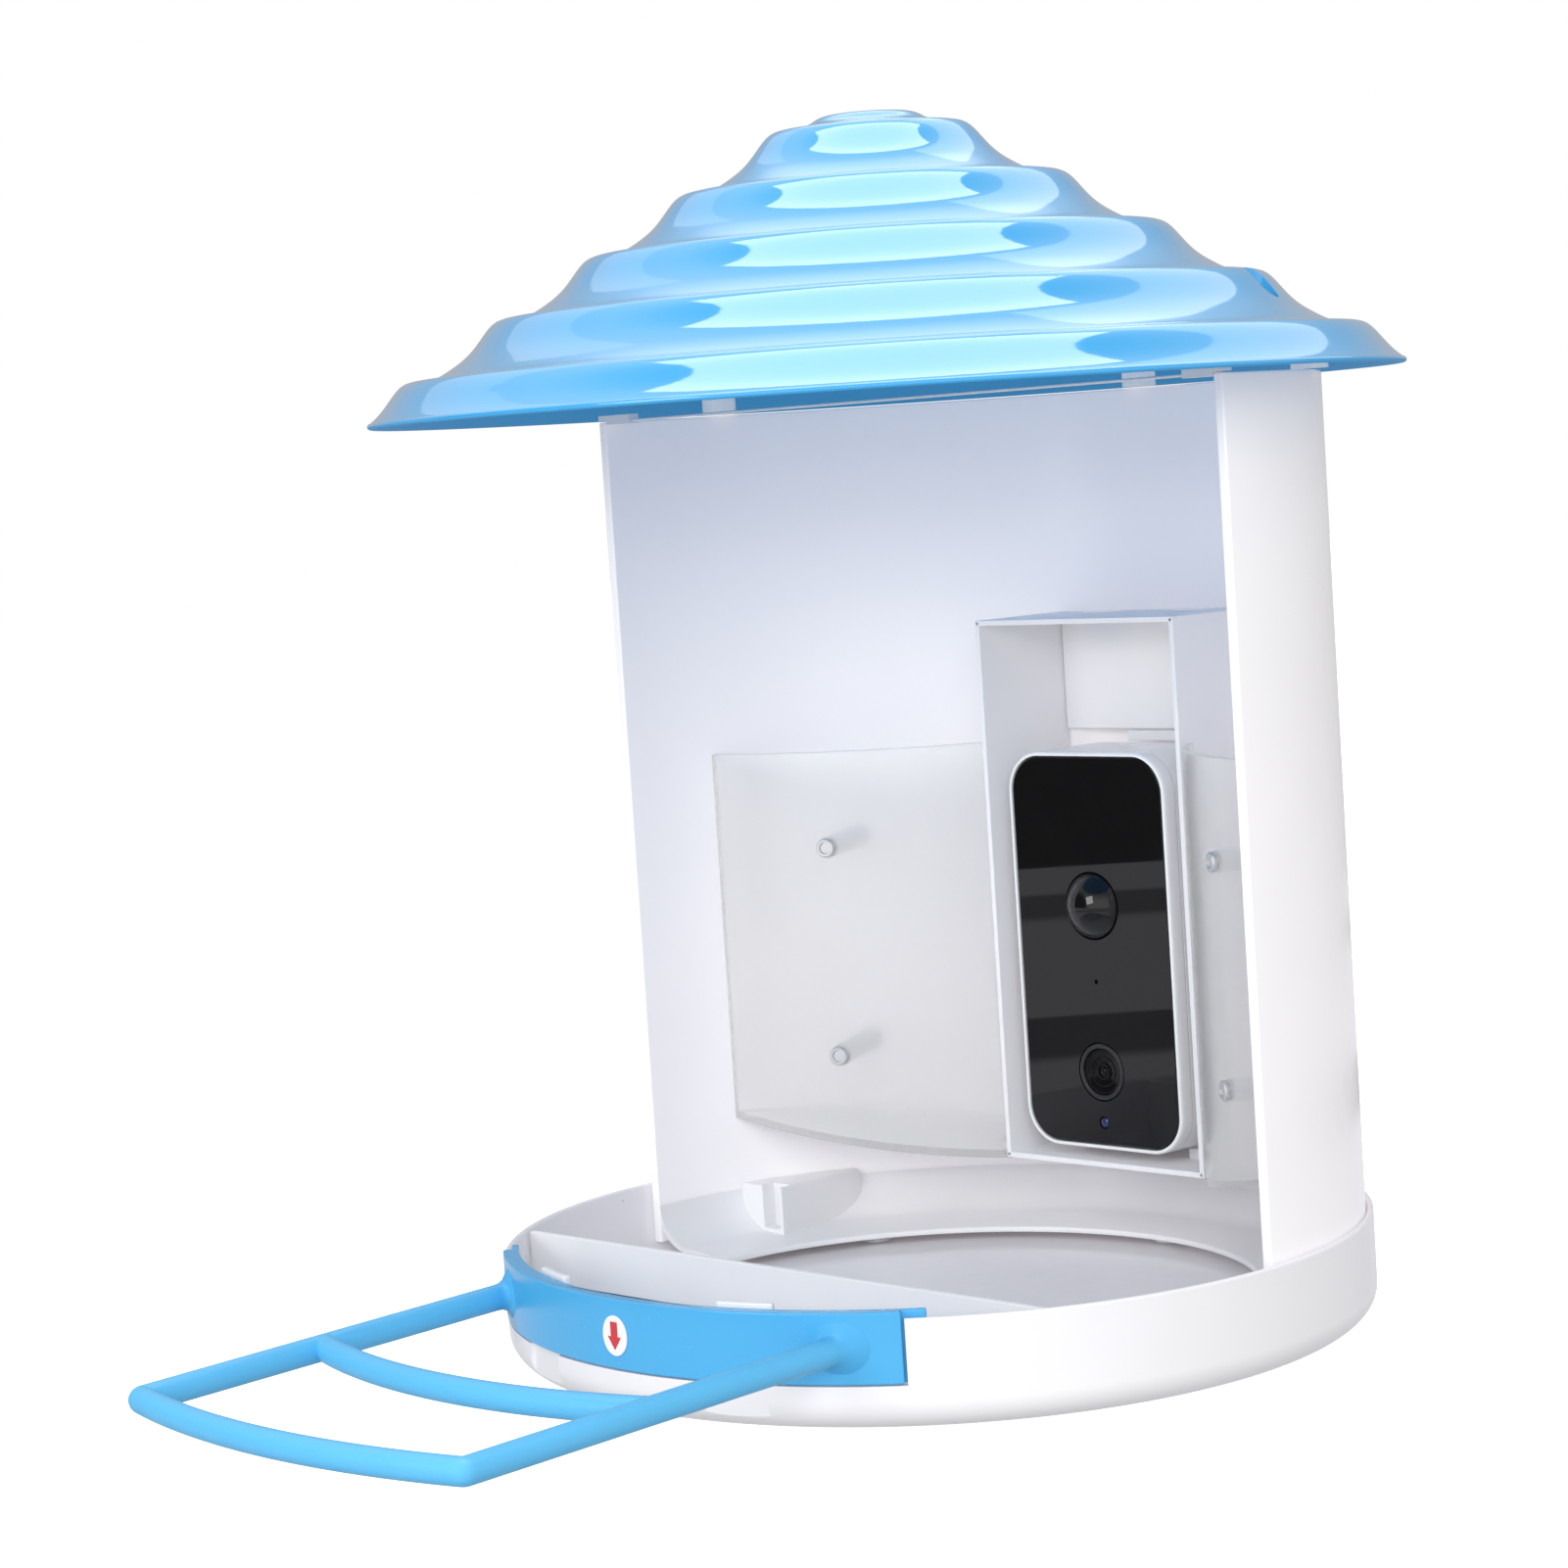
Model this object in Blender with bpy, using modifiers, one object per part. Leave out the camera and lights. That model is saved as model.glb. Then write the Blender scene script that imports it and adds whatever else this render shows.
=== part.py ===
# Bird feeder: rippled roof, half-round wall, camera box with two seed bins, round tray and
# a push-in perch. Metres, +Z up, the open front faces -Y, the axis of the tray is the Z axis.
import math

import bmesh
import bpy
import numpy as np
from mathutils import Matrix, Vector

# Fits and cuts
FIT_GAP = 0.0003
OVERRUN = 0.004
HALF = 0.5
SPLINE_WEIGHT = 1
MERGE = 0.00001
SHARP_ANGLE = math.radians(32)

# Fineness of round work
FULL_TURN = math.radians(360)
HALF_TURN = math.radians(180)
QUARTER_TURN = math.radians(90)
ROUND_STEPS = 54
ARC_STEPS = 26
SMALL_STEPS = 18
CORNER_STEPS = 5
BAR_STEPS = 12
RAIL_STEPS = 2
FINE_STEPS = 120

# Tray: the driving round size, from which the wall, the roof and the band take theirs
TRAY_RADIUS = 0.0900
TRAY_TOP = 0.0219
RIM_SKIN = 0.0013
RIM_ROUND = 0.0006
TRAY_FLOOR = 0.0035
TRAY_FILLET_OUT = 0.0076
TRAY_FILLET_UP = 0.0064
TRAY_FILLET_INNER = 0.0050
FILLET_SAMPLES = 5
FOOT_RING_WIDTH = 0.0045
FOOT_RING_HEIGHT = 0.0012
FOOT_CENTRE_RADIUS = 0.0120
TRAY_INNER = TRAY_RADIUS - RIM_SKIN
SLOT_HALF_ANGLE = math.radians(39.6)
SLOT_FOOT = 0.0093
PAD_ANGLE = math.radians(17.8)
PAD_DEPTH = 0.0011
PAD_WIDTH = 0.0140
DIVIDER_PLACE = 0.0475
DIVIDER_SKIN = 0.0015
DIVIDER_DROP = 0.0005
DIVIDER_CORNER = 0.0058
CLIP_ANGLE = math.radians(18.6)
CLIP_WIDTH_ANGLE = math.radians(8)
CLIP_SKIN = 0.0016
CLIP_RISE = 0.0022

# Wall: a half-round shell inside the tray's rim, open towards -Y
WALL_RADIUS = TRAY_INNER - FIT_GAP
WALL_SKIN = 0.0022
WALL_FOOT = TRAY_FLOOR + TRAY_FILLET_INNER
WALL_HEIGHT = 0.1838
WALL_TOP = WALL_FOOT + WALL_HEIGHT
WALL_INNER = WALL_RADIUS - WALL_SKIN
ROOM_RADIUS = WALL_INNER - FIT_GAP
LUG_WIDTH = 0.0098
LUG_REACH = WALL_RADIUS - LUG_WIDTH
LUG_DEPTH = 0.0030
LUG_RISE = 0.0014
LUG_DROP = 0.0006
STAY_RADIUS = 0.0003
STAY_PLACE = 0.0011

# Roof: a thin rippled shell of revolution with a small flat cap
ROOF_OVERHANG = 0.0171
ROOF_RADIUS = WALL_RADIUS + ROOF_OVERHANG
ROOF_SKIN = 0.0019
ROOF_TURN = math.radians(4)
SHOULDER_RADIUS = 0.0180
SLOPE_FOOT_RISE = 0.00273
SLOPE_FOOT = WALL_TOP + SLOPE_FOOT_RISE
SLOPE_FALL = 0.590
CAP_RISE = 0.00354
ROOF_TOP = SLOPE_FOOT + SLOPE_FALL * (ROOF_RADIUS - SHOULDER_RADIUS) + CAP_RISE
CAP_RADIUS = 0.0090
CAP_EDGE_RADIUS = 0.0106
CAP_EDGE_DROP = 0.0008
COLLAR_RADIUS = 0.0128
COLLAR_DROP = 0.0021
RIPPLE_PITCH = 0.01945
RIPPLE_HEIGHT = 0.0016
RIPPLE_SKEW = 0.55
RIPPLE_INSET = 0.00755
RIPPLE_SAMPLES = 20
HANG_HOLE_RADIUS = 0.0035
HANG_HOLE_INSET = 0.0250
HANG_HOLE_PLACE = ROOF_RADIUS - HANG_HOLE_INSET
HANG_HOLE_ANGLE = math.radians(22)
HANG_HOLE_COUNT = 2
STUD_RADIUS = 0.00375
STUD_COUNT = 3
STUD_SPREAD = math.radians(65.5)

# Foot flange: half a ring with a coved upper side, inside the foot of the wall
LIP_INSET = 0.0224
LIP_RADIUS = WALL_RADIUS - LIP_INSET
LIP_RISE = 0.0032
LIP_TOP = TRAY_FLOOR + LIP_RISE
FLANGE_SKIN = 0.0013
COVE_RADIUS = 0.0090
COVE_TOP = LIP_TOP + COVE_RADIUS + FLANGE_SKIN

# Foot blocks, seated in the flange against the wall
BLOCK_WIDTH = 0.0159
BLOCK_SIDE = ROOM_RADIUS - BLOCK_WIDTH
BLOCK_FRONT = 0.0225
BLOCK_DROP = 0.0011
BLOCK_FOOT = LIP_TOP - BLOCK_DROP
BLOCK_HEIGHT = 0.0129
BLOCK_TOP = BLOCK_FOOT + BLOCK_HEIGHT
BLOCK_BEVEL = 0.0012
GROOVE_WIDTH = 0.0058
GROOVE_DEPTH = 0.0035
GROOVE_LIP = 0.0009
GROOVE_RISE = 0.0032

# Flange posts and the screws that come up through the tray
POST_COUNT = 3
POST_INSET = 0.0080
POST_PLACE = LIP_RADIUS + POST_INSET
POST_RADIUS = 0.0035
POST_RISE = 0.0002
POST_TOP = LIP_TOP - FLANGE_SKIN + POST_RISE
POST_SPREAD = math.radians(55)
SCREW_RADIUS = 0.0011
SCREW_LENGTH = 0.0036
SCREW_HEAD_RADIUS = 0.0024
SCREW_HEAD_HEIGHT = 0.0008
SCREW_STEPS = 12

# Perch: a band in the slot of the tray and a frame of rods
BAND_PROUD = 0.0002
BAND_RADIUS = TRAY_RADIUS + BAND_PROUD
BAND_SKIN = 0.0018
BAND_HALF_ANGLE = math.radians(39.2)
BAND_FOOT = SLOT_FOOT + FIT_GAP
BAND_RISE = 0.0014
BAND_TOP = TRAY_TOP + BAND_RISE
BAND_FLANGE_SKIN = 0.0015
BAND_FLANGE_HALF_ANGLE = math.radians(42.2)
ROD_RADIUS = 0.00265
ROD_FLARE = 0.0058
ROD_FLARE_LENGTH = 0.0060
ARM_ANGLE = math.radians(31.63)
ARM_PLACE = BAND_RADIUS * math.sin(ARM_ANGLE)
ARM_ROOT_RISE = 0.0069
ARM_ROOT_HEIGHT = BAND_FOOT + ARM_ROOT_RISE
ARM_DROOP = 0.0021
ARM_END_HEIGHT = ARM_ROOT_HEIGHT - ARM_DROOP
END_BAR_REACH = 0.0835
END_BAR_RADIUS = BAND_RADIUS + END_BAR_REACH
MID_BAR_REACH = 0.0428
MID_BAR_RADIUS = BAND_RADIUS + MID_BAR_REACH
STICKER_WIDTH = 0.0068
STICKER_HEIGHT = 0.0079
STICKER_SKIN = 0.0003
STICKER_RISE = 0.0067
STICKER_PLACE = BAND_FOOT + STICKER_RISE
STICKER_GAP = 0.0001
ARROW_WIDTH = 0.0036
ARROW_HEIGHT = 0.0054
ARROW_SHAFT_SHARE = 0.50
ARROW_HEAD_SHARE = 0.46
ARROW_SKIN = 0.0002

# Camera box: its back corners meet the wall
BOX_HALF_WIDTH = 0.0283
BOX_BACK = math.sqrt(ROOM_RADIUS ** 2 - BOX_HALF_WIDTH ** 2)
BOX_DEPTH = 0.0281
BOX_FRONT = BOX_BACK - BOX_DEPTH
BOX_RISE = 0.0019
BOX_FOOT = TRAY_TOP + BOX_RISE
BOX_HEIGHT = 0.1197
BOX_TOP = BOX_FOOT + BOX_HEIGHT
BOX_SKIN = 0.0012
BOX_RAIL_PLACE = 0.0160
BOX_RAIL_WIDTH = 0.0030
BOX_RAIL_HEIGHT = 0.0022
BOX_RAIL_TOP = BOX_FOOT + BOX_SKIN + BOX_RAIL_HEIGHT
NOTCH_PLACE = 0.0130
NOTCH_WIDTH = 0.0120
NOTCH_DEPTH = 0.0040
NOTCH_PLACE_BACK = 0.0024

# Camera module: stands on the box's rails
CAM_HALF_WIDTH = 0.0223
CAM_FOOT = BOX_RAIL_TOP + FIT_GAP
CAM_HEIGHT = 0.0870
CAM_TOP = CAM_FOOT + CAM_HEIGHT
CAM_CORNER = 0.0088
CAM_SET_BACK = 0.0011
CAM_FRONT = BOX_FRONT + CAM_SET_BACK
BEZEL_DEPTH = 0.0039
CAM_SEAM = CAM_FRONT + BEZEL_DEPTH
CAM_DEPTH = 0.0249
CAM_BACK = CAM_FRONT + CAM_DEPTH
CAM_SKIN = 0.0015
GLASS_INSET = 0.0012
GLASS_HALF_WIDTH = CAM_HALF_WIDTH - GLASS_INSET
GLASS_SKIN = 0.0015
GLASS_SET_BACK = 0.0002
LENS_RISE = 0.0171
LENS_HEIGHT = CAM_FOOT + LENS_RISE
LENS_RING_RADIUS = 0.0062
LENS_RING_SKIN = 0.0010
LENS_COVER_SKIN = 0.0008
LENS_RADIUS = 0.0036
LENS_EYE_RADIUS = 0.0018
LENS_EYE_DEPTH = 0.0006
LIGHT_DROP = 0.0112
LIGHT_HEIGHT = LENS_HEIGHT - LIGHT_DROP
LIGHT_RADIUS = 0.0011
MIC_RISE = 0.0198
MIC_HEIGHT = LENS_HEIGHT + MIC_RISE
MIC_HOLE_RADIUS = 0.0005
MIC_RADIUS = 0.0020
MIC_DEPTH = 0.0012
DOME_RISE = 0.0364
DOME_HEIGHT = LENS_HEIGHT + DOME_RISE
DOME_RADIUS = 0.0072
DOME_BULGE = 0.0042
DOME_SKIN = 0.0010
DOME_SKIRT = 0.0020
PIR_RADIUS = 0.0045
BOARD_SKIN = 0.0010
BOARD_HALF_WIDTH = 0.0165
BOARD_END_GAP = 0.0030
BOARD_FOOT = CAM_FOOT + BOARD_END_GAP
BOARD_HEIGHT = 0.0745
BOARD_DEPTH = 0.0079
BOARD_FRONT = CAM_FRONT + BOARD_DEPTH
SENSOR_SIDE = 0.0080
SENSOR_DEPTH = 0.0012
BATTERY_RADIUS = 0.0070
BATTERY_RISE = 0.0065
BATTERY_FOOT = CAM_FOOT + BATTERY_RISE
BATTERY_LENGTH = 0.0500
BATTERY_PLACE = 0.0085
SPEAKER_RADIUS = 0.0090
SPEAKER_DEPTH = 0.0040
SPEAKER_DROP = 0.0165
SPEAKER_HEIGHT = CAM_TOP - SPEAKER_DROP

# Back plate and latch of the box, above the camera
BACK_PLATE_GAP = 0.0027
BACK_PLATE_FOOT = CAM_TOP + BACK_PLATE_GAP
BACK_PLATE_SKIN = 0.0012
LATCH_WIDTH = 0.0150
LATCH_HEIGHT = 0.0022
LATCH_DEPTH = 0.0030

# Seed bins: a curved sheet from the box's side to the wall and a sloping floor, on each side
BOX_SIDE = BOX_HALF_WIDTH + FIT_GAP
SHEET_INSET = 0.0029
SHEET_CENTRE_X = WALL_RADIUS - SHEET_INSET
SHEET_CENTRE_Y = WALL_RADIUS
SHEET_SET_BACK = 0.0017
SHEET_RADIUS = math.hypot(SHEET_CENTRE_X - BOX_SIDE, SHEET_CENTRE_Y - BOX_FRONT - SHEET_SET_BACK)
SHEET_SKIN = 0.0012
SHEET_HEIGHT = 0.0927
SHEET_TOP = BOX_FOOT + SHEET_HEIGHT
BIN_FLOOR_DROP = 0.0006
BIN_FLOOR_FOOT = BOX_FOOT - BIN_FLOOR_DROP
BIN_FLOOR_RISE = 0.190
BIN_FLOOR_SKIN = 0.0015
OUTLET_RADIUS = 0.0090
OUTLET_SET_BACK = 0.0110
OUTLET_PLACE = BOX_FRONT + OUTLET_SET_BACK
PIN_RADIUS = 0.0024
PIN_BORE_DEPTH = 0.0090
PIN_PLACE_SHARE = 0.451
PIN_PLACE = BOX_HALF_WIDTH + PIN_PLACE_SHARE * (WALL_RADIUS - BOX_HALF_WIDTH)
PIN_RISES = (0.0247, 0.0714)
PIN_HEAD_RADIUS = 0.0021
PIN_HEAD_HEIGHT = 0.0009
PIN_SHANK_RADIUS = 0.0010
PIN_SHANK_LENGTH = 0.0080

# Colours and finishes
BLUE = (0.105, 0.420, 0.880, 1.0)
BLUE_MATT = (0.085, 0.385, 0.820, 1.0)
WHITE = (0.830, 0.840, 0.870, 1.0)
WHITE_BRIGHT = (0.870, 0.870, 0.880, 1.0)
FROST = (0.780, 0.790, 0.800, 1.0)
CLEAR_STUD = (0.700, 0.750, 0.800, 1.0)
BLACK_GLASS = (0.006, 0.006, 0.007, 1.0)
DARK_PART = (0.025, 0.025, 0.028, 1.0)
LIGHT_BLUE_LENS = (0.180, 0.240, 0.550, 1.0)
BOARD_GREEN = (0.020, 0.160, 0.060, 1.0)
STEEL = (0.560, 0.570, 0.580, 1.0)
CELL_SLEEVE = (0.030, 0.120, 0.350, 1.0)
RED = (0.700, 0.040, 0.045, 1.0)
STICKER_WHITE = (0.880, 0.880, 0.890, 1.0)
GLOSS = 0.16
SATIN = 0.38
MATT = 0.60
MIRROR_GLOSS = 0.05
METAL = 1.0
PLAIN = 0.0

for stale in list(bpy.data.objects):
    bpy.data.objects.remove(stale, do_unlink=True)
parts = bpy.data.collections.new("bird_feeder")
cutters = bpy.data.collections.new("cutters")
for group in (parts, cutters):
    bpy.context.scene.collection.children.link(group)


def place(obj, colour=None, roughness=SATIN, metallic=PLAIN):
    """Put a finished piece in the parts collection with a material of its own."""
    parts.objects.link(obj)
    if colour is not None:
        paint = bpy.data.materials.new(obj.name)
        paint.use_nodes = True
        shader = paint.node_tree.nodes["Principled BSDF"]
        shader.inputs["Base Color"].default_value = colour
        shader.inputs["Roughness"].default_value = roughness
        shader.inputs["Metallic"].default_value = metallic
        obj.data.materials.append(paint)
    return obj


def keep_as_cutter(obj):
    """Hide a cutter from renders."""
    cutters.objects.link(obj)
    obj.hide_render = True
    obj.display_type = "WIRE"
    return obj


def from_bmesh(name, bm):
    """Turn a bmesh into an object that is in no collection yet."""
    bmesh.ops.recalc_face_normals(bm, faces=bm.faces)
    mesh = bpy.data.meshes.new(name)
    bm.to_mesh(mesh)
    bm.free()
    return bpy.data.objects.new(name, mesh)


def block(name, low, high):
    """A box between two corners."""
    low, high = Vector(low), Vector(high)
    bm = bmesh.new()
    bmesh.ops.create_cube(bm, size=1)
    size = high - low
    bmesh.ops.transform(bm, matrix=Matrix.Translation((low + high) * HALF)
                        @ Matrix.Diagonal((*size, 1)), verts=bm.verts)
    return from_bmesh(name, bm)


def rod(name, radius, start, end, far_radius=None, steps=SMALL_STEPS):
    """A cylinder, or a cone, from one point to another."""
    start, end = Vector(start), Vector(end)
    axis = end - start
    bm = bmesh.new()
    bmesh.ops.create_cone(bm, cap_ends=True, segments=steps, radius1=radius,
                          radius2=radius if far_radius is None else far_radius, depth=axis.length)
    turn = axis.to_track_quat("Z", "Y").to_matrix().to_4x4()
    bmesh.ops.transform(bm, matrix=Matrix.Translation((start + end) * HALF) @ turn, verts=bm.verts)
    return from_bmesh(name, bm)


def turned(name, profile, steps=ROUND_STEPS):
    """A closed profile of (radius, height) points, turned about Z with a Screw modifier."""
    mesh = bpy.data.meshes.new(name)
    count = len(profile)
    open_ended = profile[0][0] == 0
    links = [(i, (i + 1) % count) for i in range(count - (1 if open_ended else 0))]
    mesh.from_pydata([(radius, 0, height) for radius, height in profile], links, [])
    obj = bpy.data.objects.new(name, mesh)
    screw = obj.modifiers.new("turn", "SCREW")
    screw.steps = screw.render_steps = steps
    screw.use_merge_vertices = True
    screw.merge_threshold = MERGE
    return obj


def screw(name, seat, outward, head_radius, head_height, shank_radius, shank_length):
    """A flat-headed screw whose head stands outward from its seat."""
    profile = [(0, head_height), (head_radius, head_height), (head_radius, 0), (shank_radius, 0),
               (shank_radius, -shank_length), (0, -shank_length)]
    obj = turned(name, profile, SCREW_STEPS)
    obj.matrix_world = (Matrix.Translation(seat)
                        @ Vector(outward).to_track_quat("Z", "Y").to_matrix().to_4x4())
    return obj


def plate(name, outlines, low, high, upright=False):
    """Flat outlines (the later ones are holes) given thickness from low to high.

    Lying: outlines are (x, y) and the thickness runs along Z. Upright: outlines are (x, z) and
    the thickness runs along Y.
    """
    curve = bpy.data.curves.new(name, "CURVE")
    curve.dimensions = "2D"
    curve.fill_mode = "BOTH"
    curve.extrude = (high - low) * HALF
    for outline in outlines:
        spline = curve.splines.new("POLY")
        spline.points.add(len(outline) - 1)
        for point, (across, along) in zip(spline.points, outline):
            point.co = (across, along, 0, SPLINE_WEIGHT)
        spline.use_cyclic_u = True
    source = bpy.data.objects.new(name, curve)
    middle = (low + high) * HALF
    if upright:
        source.matrix_world = Matrix.Translation((0, middle, 0)) @ Matrix.Rotation(QUARTER_TURN, 4, "X")
    else:
        source.matrix_world = Matrix.Translation((0, 0, middle))
    cutters.objects.link(source)
    graph = bpy.context.evaluated_depsgraph_get()
    graph.update()
    mesh = bpy.data.meshes.new_from_object(source.evaluated_get(graph))
    mesh.transform(source.matrix_world)
    bpy.data.objects.remove(source, do_unlink=True)
    bm = bmesh.new()
    bm.from_mesh(mesh)
    bmesh.ops.remove_doubles(bm, verts=bm.verts, dist=MERGE)
    return from_bmesh(name, bm)


def arc(radius, start, end, steps=ARC_STEPS, centre=(0, 0)):
    """Points along an arc about a centre."""
    return [(centre[0] + radius * math.cos(angle), centre[1] + radius * math.sin(angle))
            for angle in np.linspace(start, end, steps + 1)]


def rounded_rectangle(half_width, low, high, corner, steps=CORNER_STEPS):
    """An outline with four round corners, centred across and from low to high along."""
    inner = half_width - corner
    outline = []
    for across, along, turn in ((inner, high - corner, 0), (-inner, high - corner, 1),
                                (-inner, low + corner, 2), (inner, low + corner, 3)):
        start = turn * QUARTER_TURN
        outline += arc(corner, start, start + QUARTER_TURN, steps, (across, along))
    return outline


def boolean(obj, tool, operation="DIFFERENCE"):
    """Cut, join or intersect with another object, kept hidden."""
    if tool.name not in cutters.objects:
        keep_as_cutter(tool)
    step = obj.modifiers.new(tool.name, "BOOLEAN")
    step.operation = operation
    step.solver = "EXACT"
    step.object = tool
    return obj


def bevel(obj, width, segments=2):
    """Round the sharp edges."""
    step = obj.modifiers.new("edges", "BEVEL")
    step.width = width
    step.segments = segments
    step.limit_method = "ANGLE"
    step.angle_limit = SHARP_ANGLE
    return obj


def smooth(obj):
    """Shade round work smooth, keeping its sharp edges."""
    obj.data.shade_smooth()
    obj.data.set_sharp_from_angle(angle=SHARP_ANGLE)
    return obj


def place_each(name, pieces, colour, roughness, metallic=PLAIN):
    """Put repeated pieces in place, each an object of its own with a numbered name."""
    for number, piece in enumerate(pieces, 1):
        piece.name = piece.data.name = "%s_%d" % (name, number)
        smooth(place(piece, colour, roughness, metallic))


def polar(radius, angle, height):
    """A point from its radius, its angle about Z and its height."""
    return Vector((radius * math.cos(angle), radius * math.sin(angle), height))


# Roof shell: the outer side is a straight fall with skewed ripples on it
def roof_height(radius):
    """Height of the roof's outer side at a radius, outside the cap."""
    from_rim = ROOF_RADIUS - radius
    phase = FULL_TURN * (RIPPLE_INSET - from_rim) / RIPPLE_PITCH
    ripple = math.cos(phase + RIPPLE_SKEW * math.sin(phase))
    return SLOPE_FOOT + SLOPE_FALL * from_rim + RIPPLE_HEIGHT * ripple


roof_outer = [(0, ROOF_TOP), (CAP_RADIUS, ROOF_TOP), (CAP_EDGE_RADIUS, ROOF_TOP - CAP_EDGE_DROP),
              (COLLAR_RADIUS, ROOF_TOP - COLLAR_DROP)]
roof_outer += [(radius, roof_height(radius))
               for radius in np.linspace(SHOULDER_RADIUS, ROOF_RADIUS, RIPPLE_SAMPLES)]
roof_inner = [(radius, height - ROOF_SKIN) for radius, height in roof_outer]
roof_shell = place(turned("roof_shell", roof_outer + roof_inner[::-1]), BLUE, GLOSS)
for index in range(HANG_HOLE_COUNT):
    angle = HANG_HOLE_ANGLE + index * HALF_TURN
    boolean(roof_shell, rod("hang_hole_%d" % index, HANG_HOLE_RADIUS, polar(HANG_HOLE_PLACE, angle, WALL_TOP),
                            polar(HANG_HOLE_PLACE, angle, ROOF_TOP)))
smooth(roof_shell)

# Roof studs: stand on the top edge of the wall and carry the roof
stud_place = WALL_RADIUS - WALL_SKIN * HALF
stud_top = min(roof_height(stud_place + STUD_RADIUS), roof_height(stud_place)) - ROOF_SKIN - FIT_GAP
studs = []
for index in range(STUD_COUNT):
    angle = QUARTER_TURN + ROOF_TURN + (index - 1) * STUD_SPREAD
    studs.append(rod("stud", STUD_RADIUS, polar(stud_place, angle, WALL_TOP + FIT_GAP),
                     polar(stud_place, angle, stud_top)))
place_each("roof_stud", studs, CLEAR_STUD, SATIN)

# Wall shell: a half ring raised to its full height
wall_outline = arc(WALL_RADIUS, 0, HALF_TURN) + arc(WALL_INNER, HALF_TURN, 0)
smooth(place(plate("wall_shell", [wall_outline], WALL_FOOT, WALL_TOP), WHITE, GLOSS))

# Corner lugs: hook over the two free ends of the wall's top edge
for name, side in (("corner_lug_left", -1), ("corner_lug_right", 1)):
    hook = [(LUG_REACH, WALL_TOP - LUG_DROP), (ROOM_RADIUS, WALL_TOP - LUG_DROP),
            (ROOM_RADIUS, WALL_TOP + FIT_GAP), (WALL_RADIUS, WALL_TOP + FIT_GAP),
            (WALL_RADIUS, WALL_TOP + LUG_RISE), (LUG_REACH, WALL_TOP + LUG_RISE)]
    lug = plate(name, [[(side * across, along) for across, along in hook]], 0, LUG_DEPTH, upright=True)
    place(lug, WHITE, SATIN)

# Stay wire: straight across the opening between the lugs
stay_reach = LUG_REACH - FIT_GAP
smooth(place(rod("stay_wire", STAY_RADIUS, (-stay_reach, STAY_PLACE, WALL_TOP),
                 (stay_reach, STAY_PLACE, WALL_TOP)), WHITE_BRIGHT, SATIN))

# Foot flange: a coved ring, of which the half behind the opening is kept
cove_centre = (ROOM_RADIUS - COVE_RADIUS, COVE_TOP)
cove_lower = COVE_RADIUS + FLANGE_SKIN
cove_reach = math.acos(COVE_RADIUS / cove_lower)
flange_profile = arc(COVE_RADIUS, 0, -QUARTER_TURN, CORNER_STEPS, cove_centre)
flange_profile += [(LIP_RADIUS, LIP_TOP), (LIP_RADIUS, LIP_TOP - FLANGE_SKIN)]
flange_profile += arc(cove_lower, -QUARTER_TURN, -cove_reach, CORNER_STEPS, cove_centre)
foot_flange = place(turned("foot_flange", flange_profile[::-1]), WHITE, SATIN)
boolean(foot_flange, block("flange_front", (-TRAY_RADIUS - OVERRUN, -TRAY_RADIUS - OVERRUN, -OVERRUN),
                           (TRAY_RADIUS + OVERRUN, 0, COVE_TOP + OVERRUN)))


# Foot blocks: each fills the corner between the wall and a side face, with a groove in its front
def block_outline(side, grow):
    """Plan of a foot block, grown by a clearance where it is used as a pocket."""
    reach = ROOM_RADIUS + grow
    front, inner = BLOCK_FRONT - grow, BLOCK_SIDE - grow
    curve = arc(reach, math.asin(front / reach), math.acos(inner / reach), CORNER_STEPS)
    return [(side * across, along) for across, along in [(inner, front)] + curve]


for name, side in (("foot_block_left", -1), ("foot_block_right", 1)):
    pocket = plate(name + "_pocket", [block_outline(side, FIT_GAP)], -OVERRUN, BLOCK_TOP + OVERRUN)
    boolean(foot_flange, pocket)
    body = place(plate(name, [block_outline(side, 0)], BLOCK_FOOT, BLOCK_TOP), WHITE, SATIN)
    bevel(body, BLOCK_BEVEL)
    near, far = BLOCK_SIDE + GROOVE_LIP, BLOCK_SIDE + GROOVE_LIP + GROOVE_WIDTH
    groove_low = (min(side * near, side * far), BLOCK_FRONT - OVERRUN, BLOCK_FOOT + GROOVE_RISE)
    groove_high = (max(side * near, side * far), BLOCK_FRONT + GROOVE_DEPTH, BLOCK_TOP + OVERRUN)
    boolean(body, block(name + "_groove", groove_low, groove_high))
smooth(foot_flange)

# Tray: turned, with a big fillet below, a foot ring, a slot for the perch band and two flat pads
outer_fillet = [(TRAY_RADIUS - TRAY_FILLET_OUT * (1 - math.cos(angle)),
                 TRAY_FILLET_UP * (1 - math.sin(angle)))
                for angle in np.linspace(0, QUARTER_TURN, FILLET_SAMPLES + 1)]
inner_fillet = arc(TRAY_FILLET_INNER, -QUARTER_TURN, 0, FILLET_SAMPLES,
                   (TRAY_INNER - TRAY_FILLET_INNER, TRAY_FLOOR + TRAY_FILLET_INNER))
recess = TRAY_RADIUS - TRAY_FILLET_OUT - FOOT_RING_WIDTH
tray_profile = [(0, TRAY_FLOOR)] + inner_fillet
tray_profile += [(TRAY_INNER, TRAY_TOP), (TRAY_RADIUS - RIM_ROUND, TRAY_TOP),
                 (TRAY_RADIUS, TRAY_TOP - RIM_ROUND)]
tray_profile += outer_fillet + [(recess, 0), (recess, FOOT_RING_HEIGHT),
                                (FOOT_CENTRE_RADIUS, FOOT_RING_HEIGHT), (FOOT_CENTRE_RADIUS, 0), (0, 0)]
tray = place(turned("base_tray", tray_profile), WHITE, GLOSS)
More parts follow.
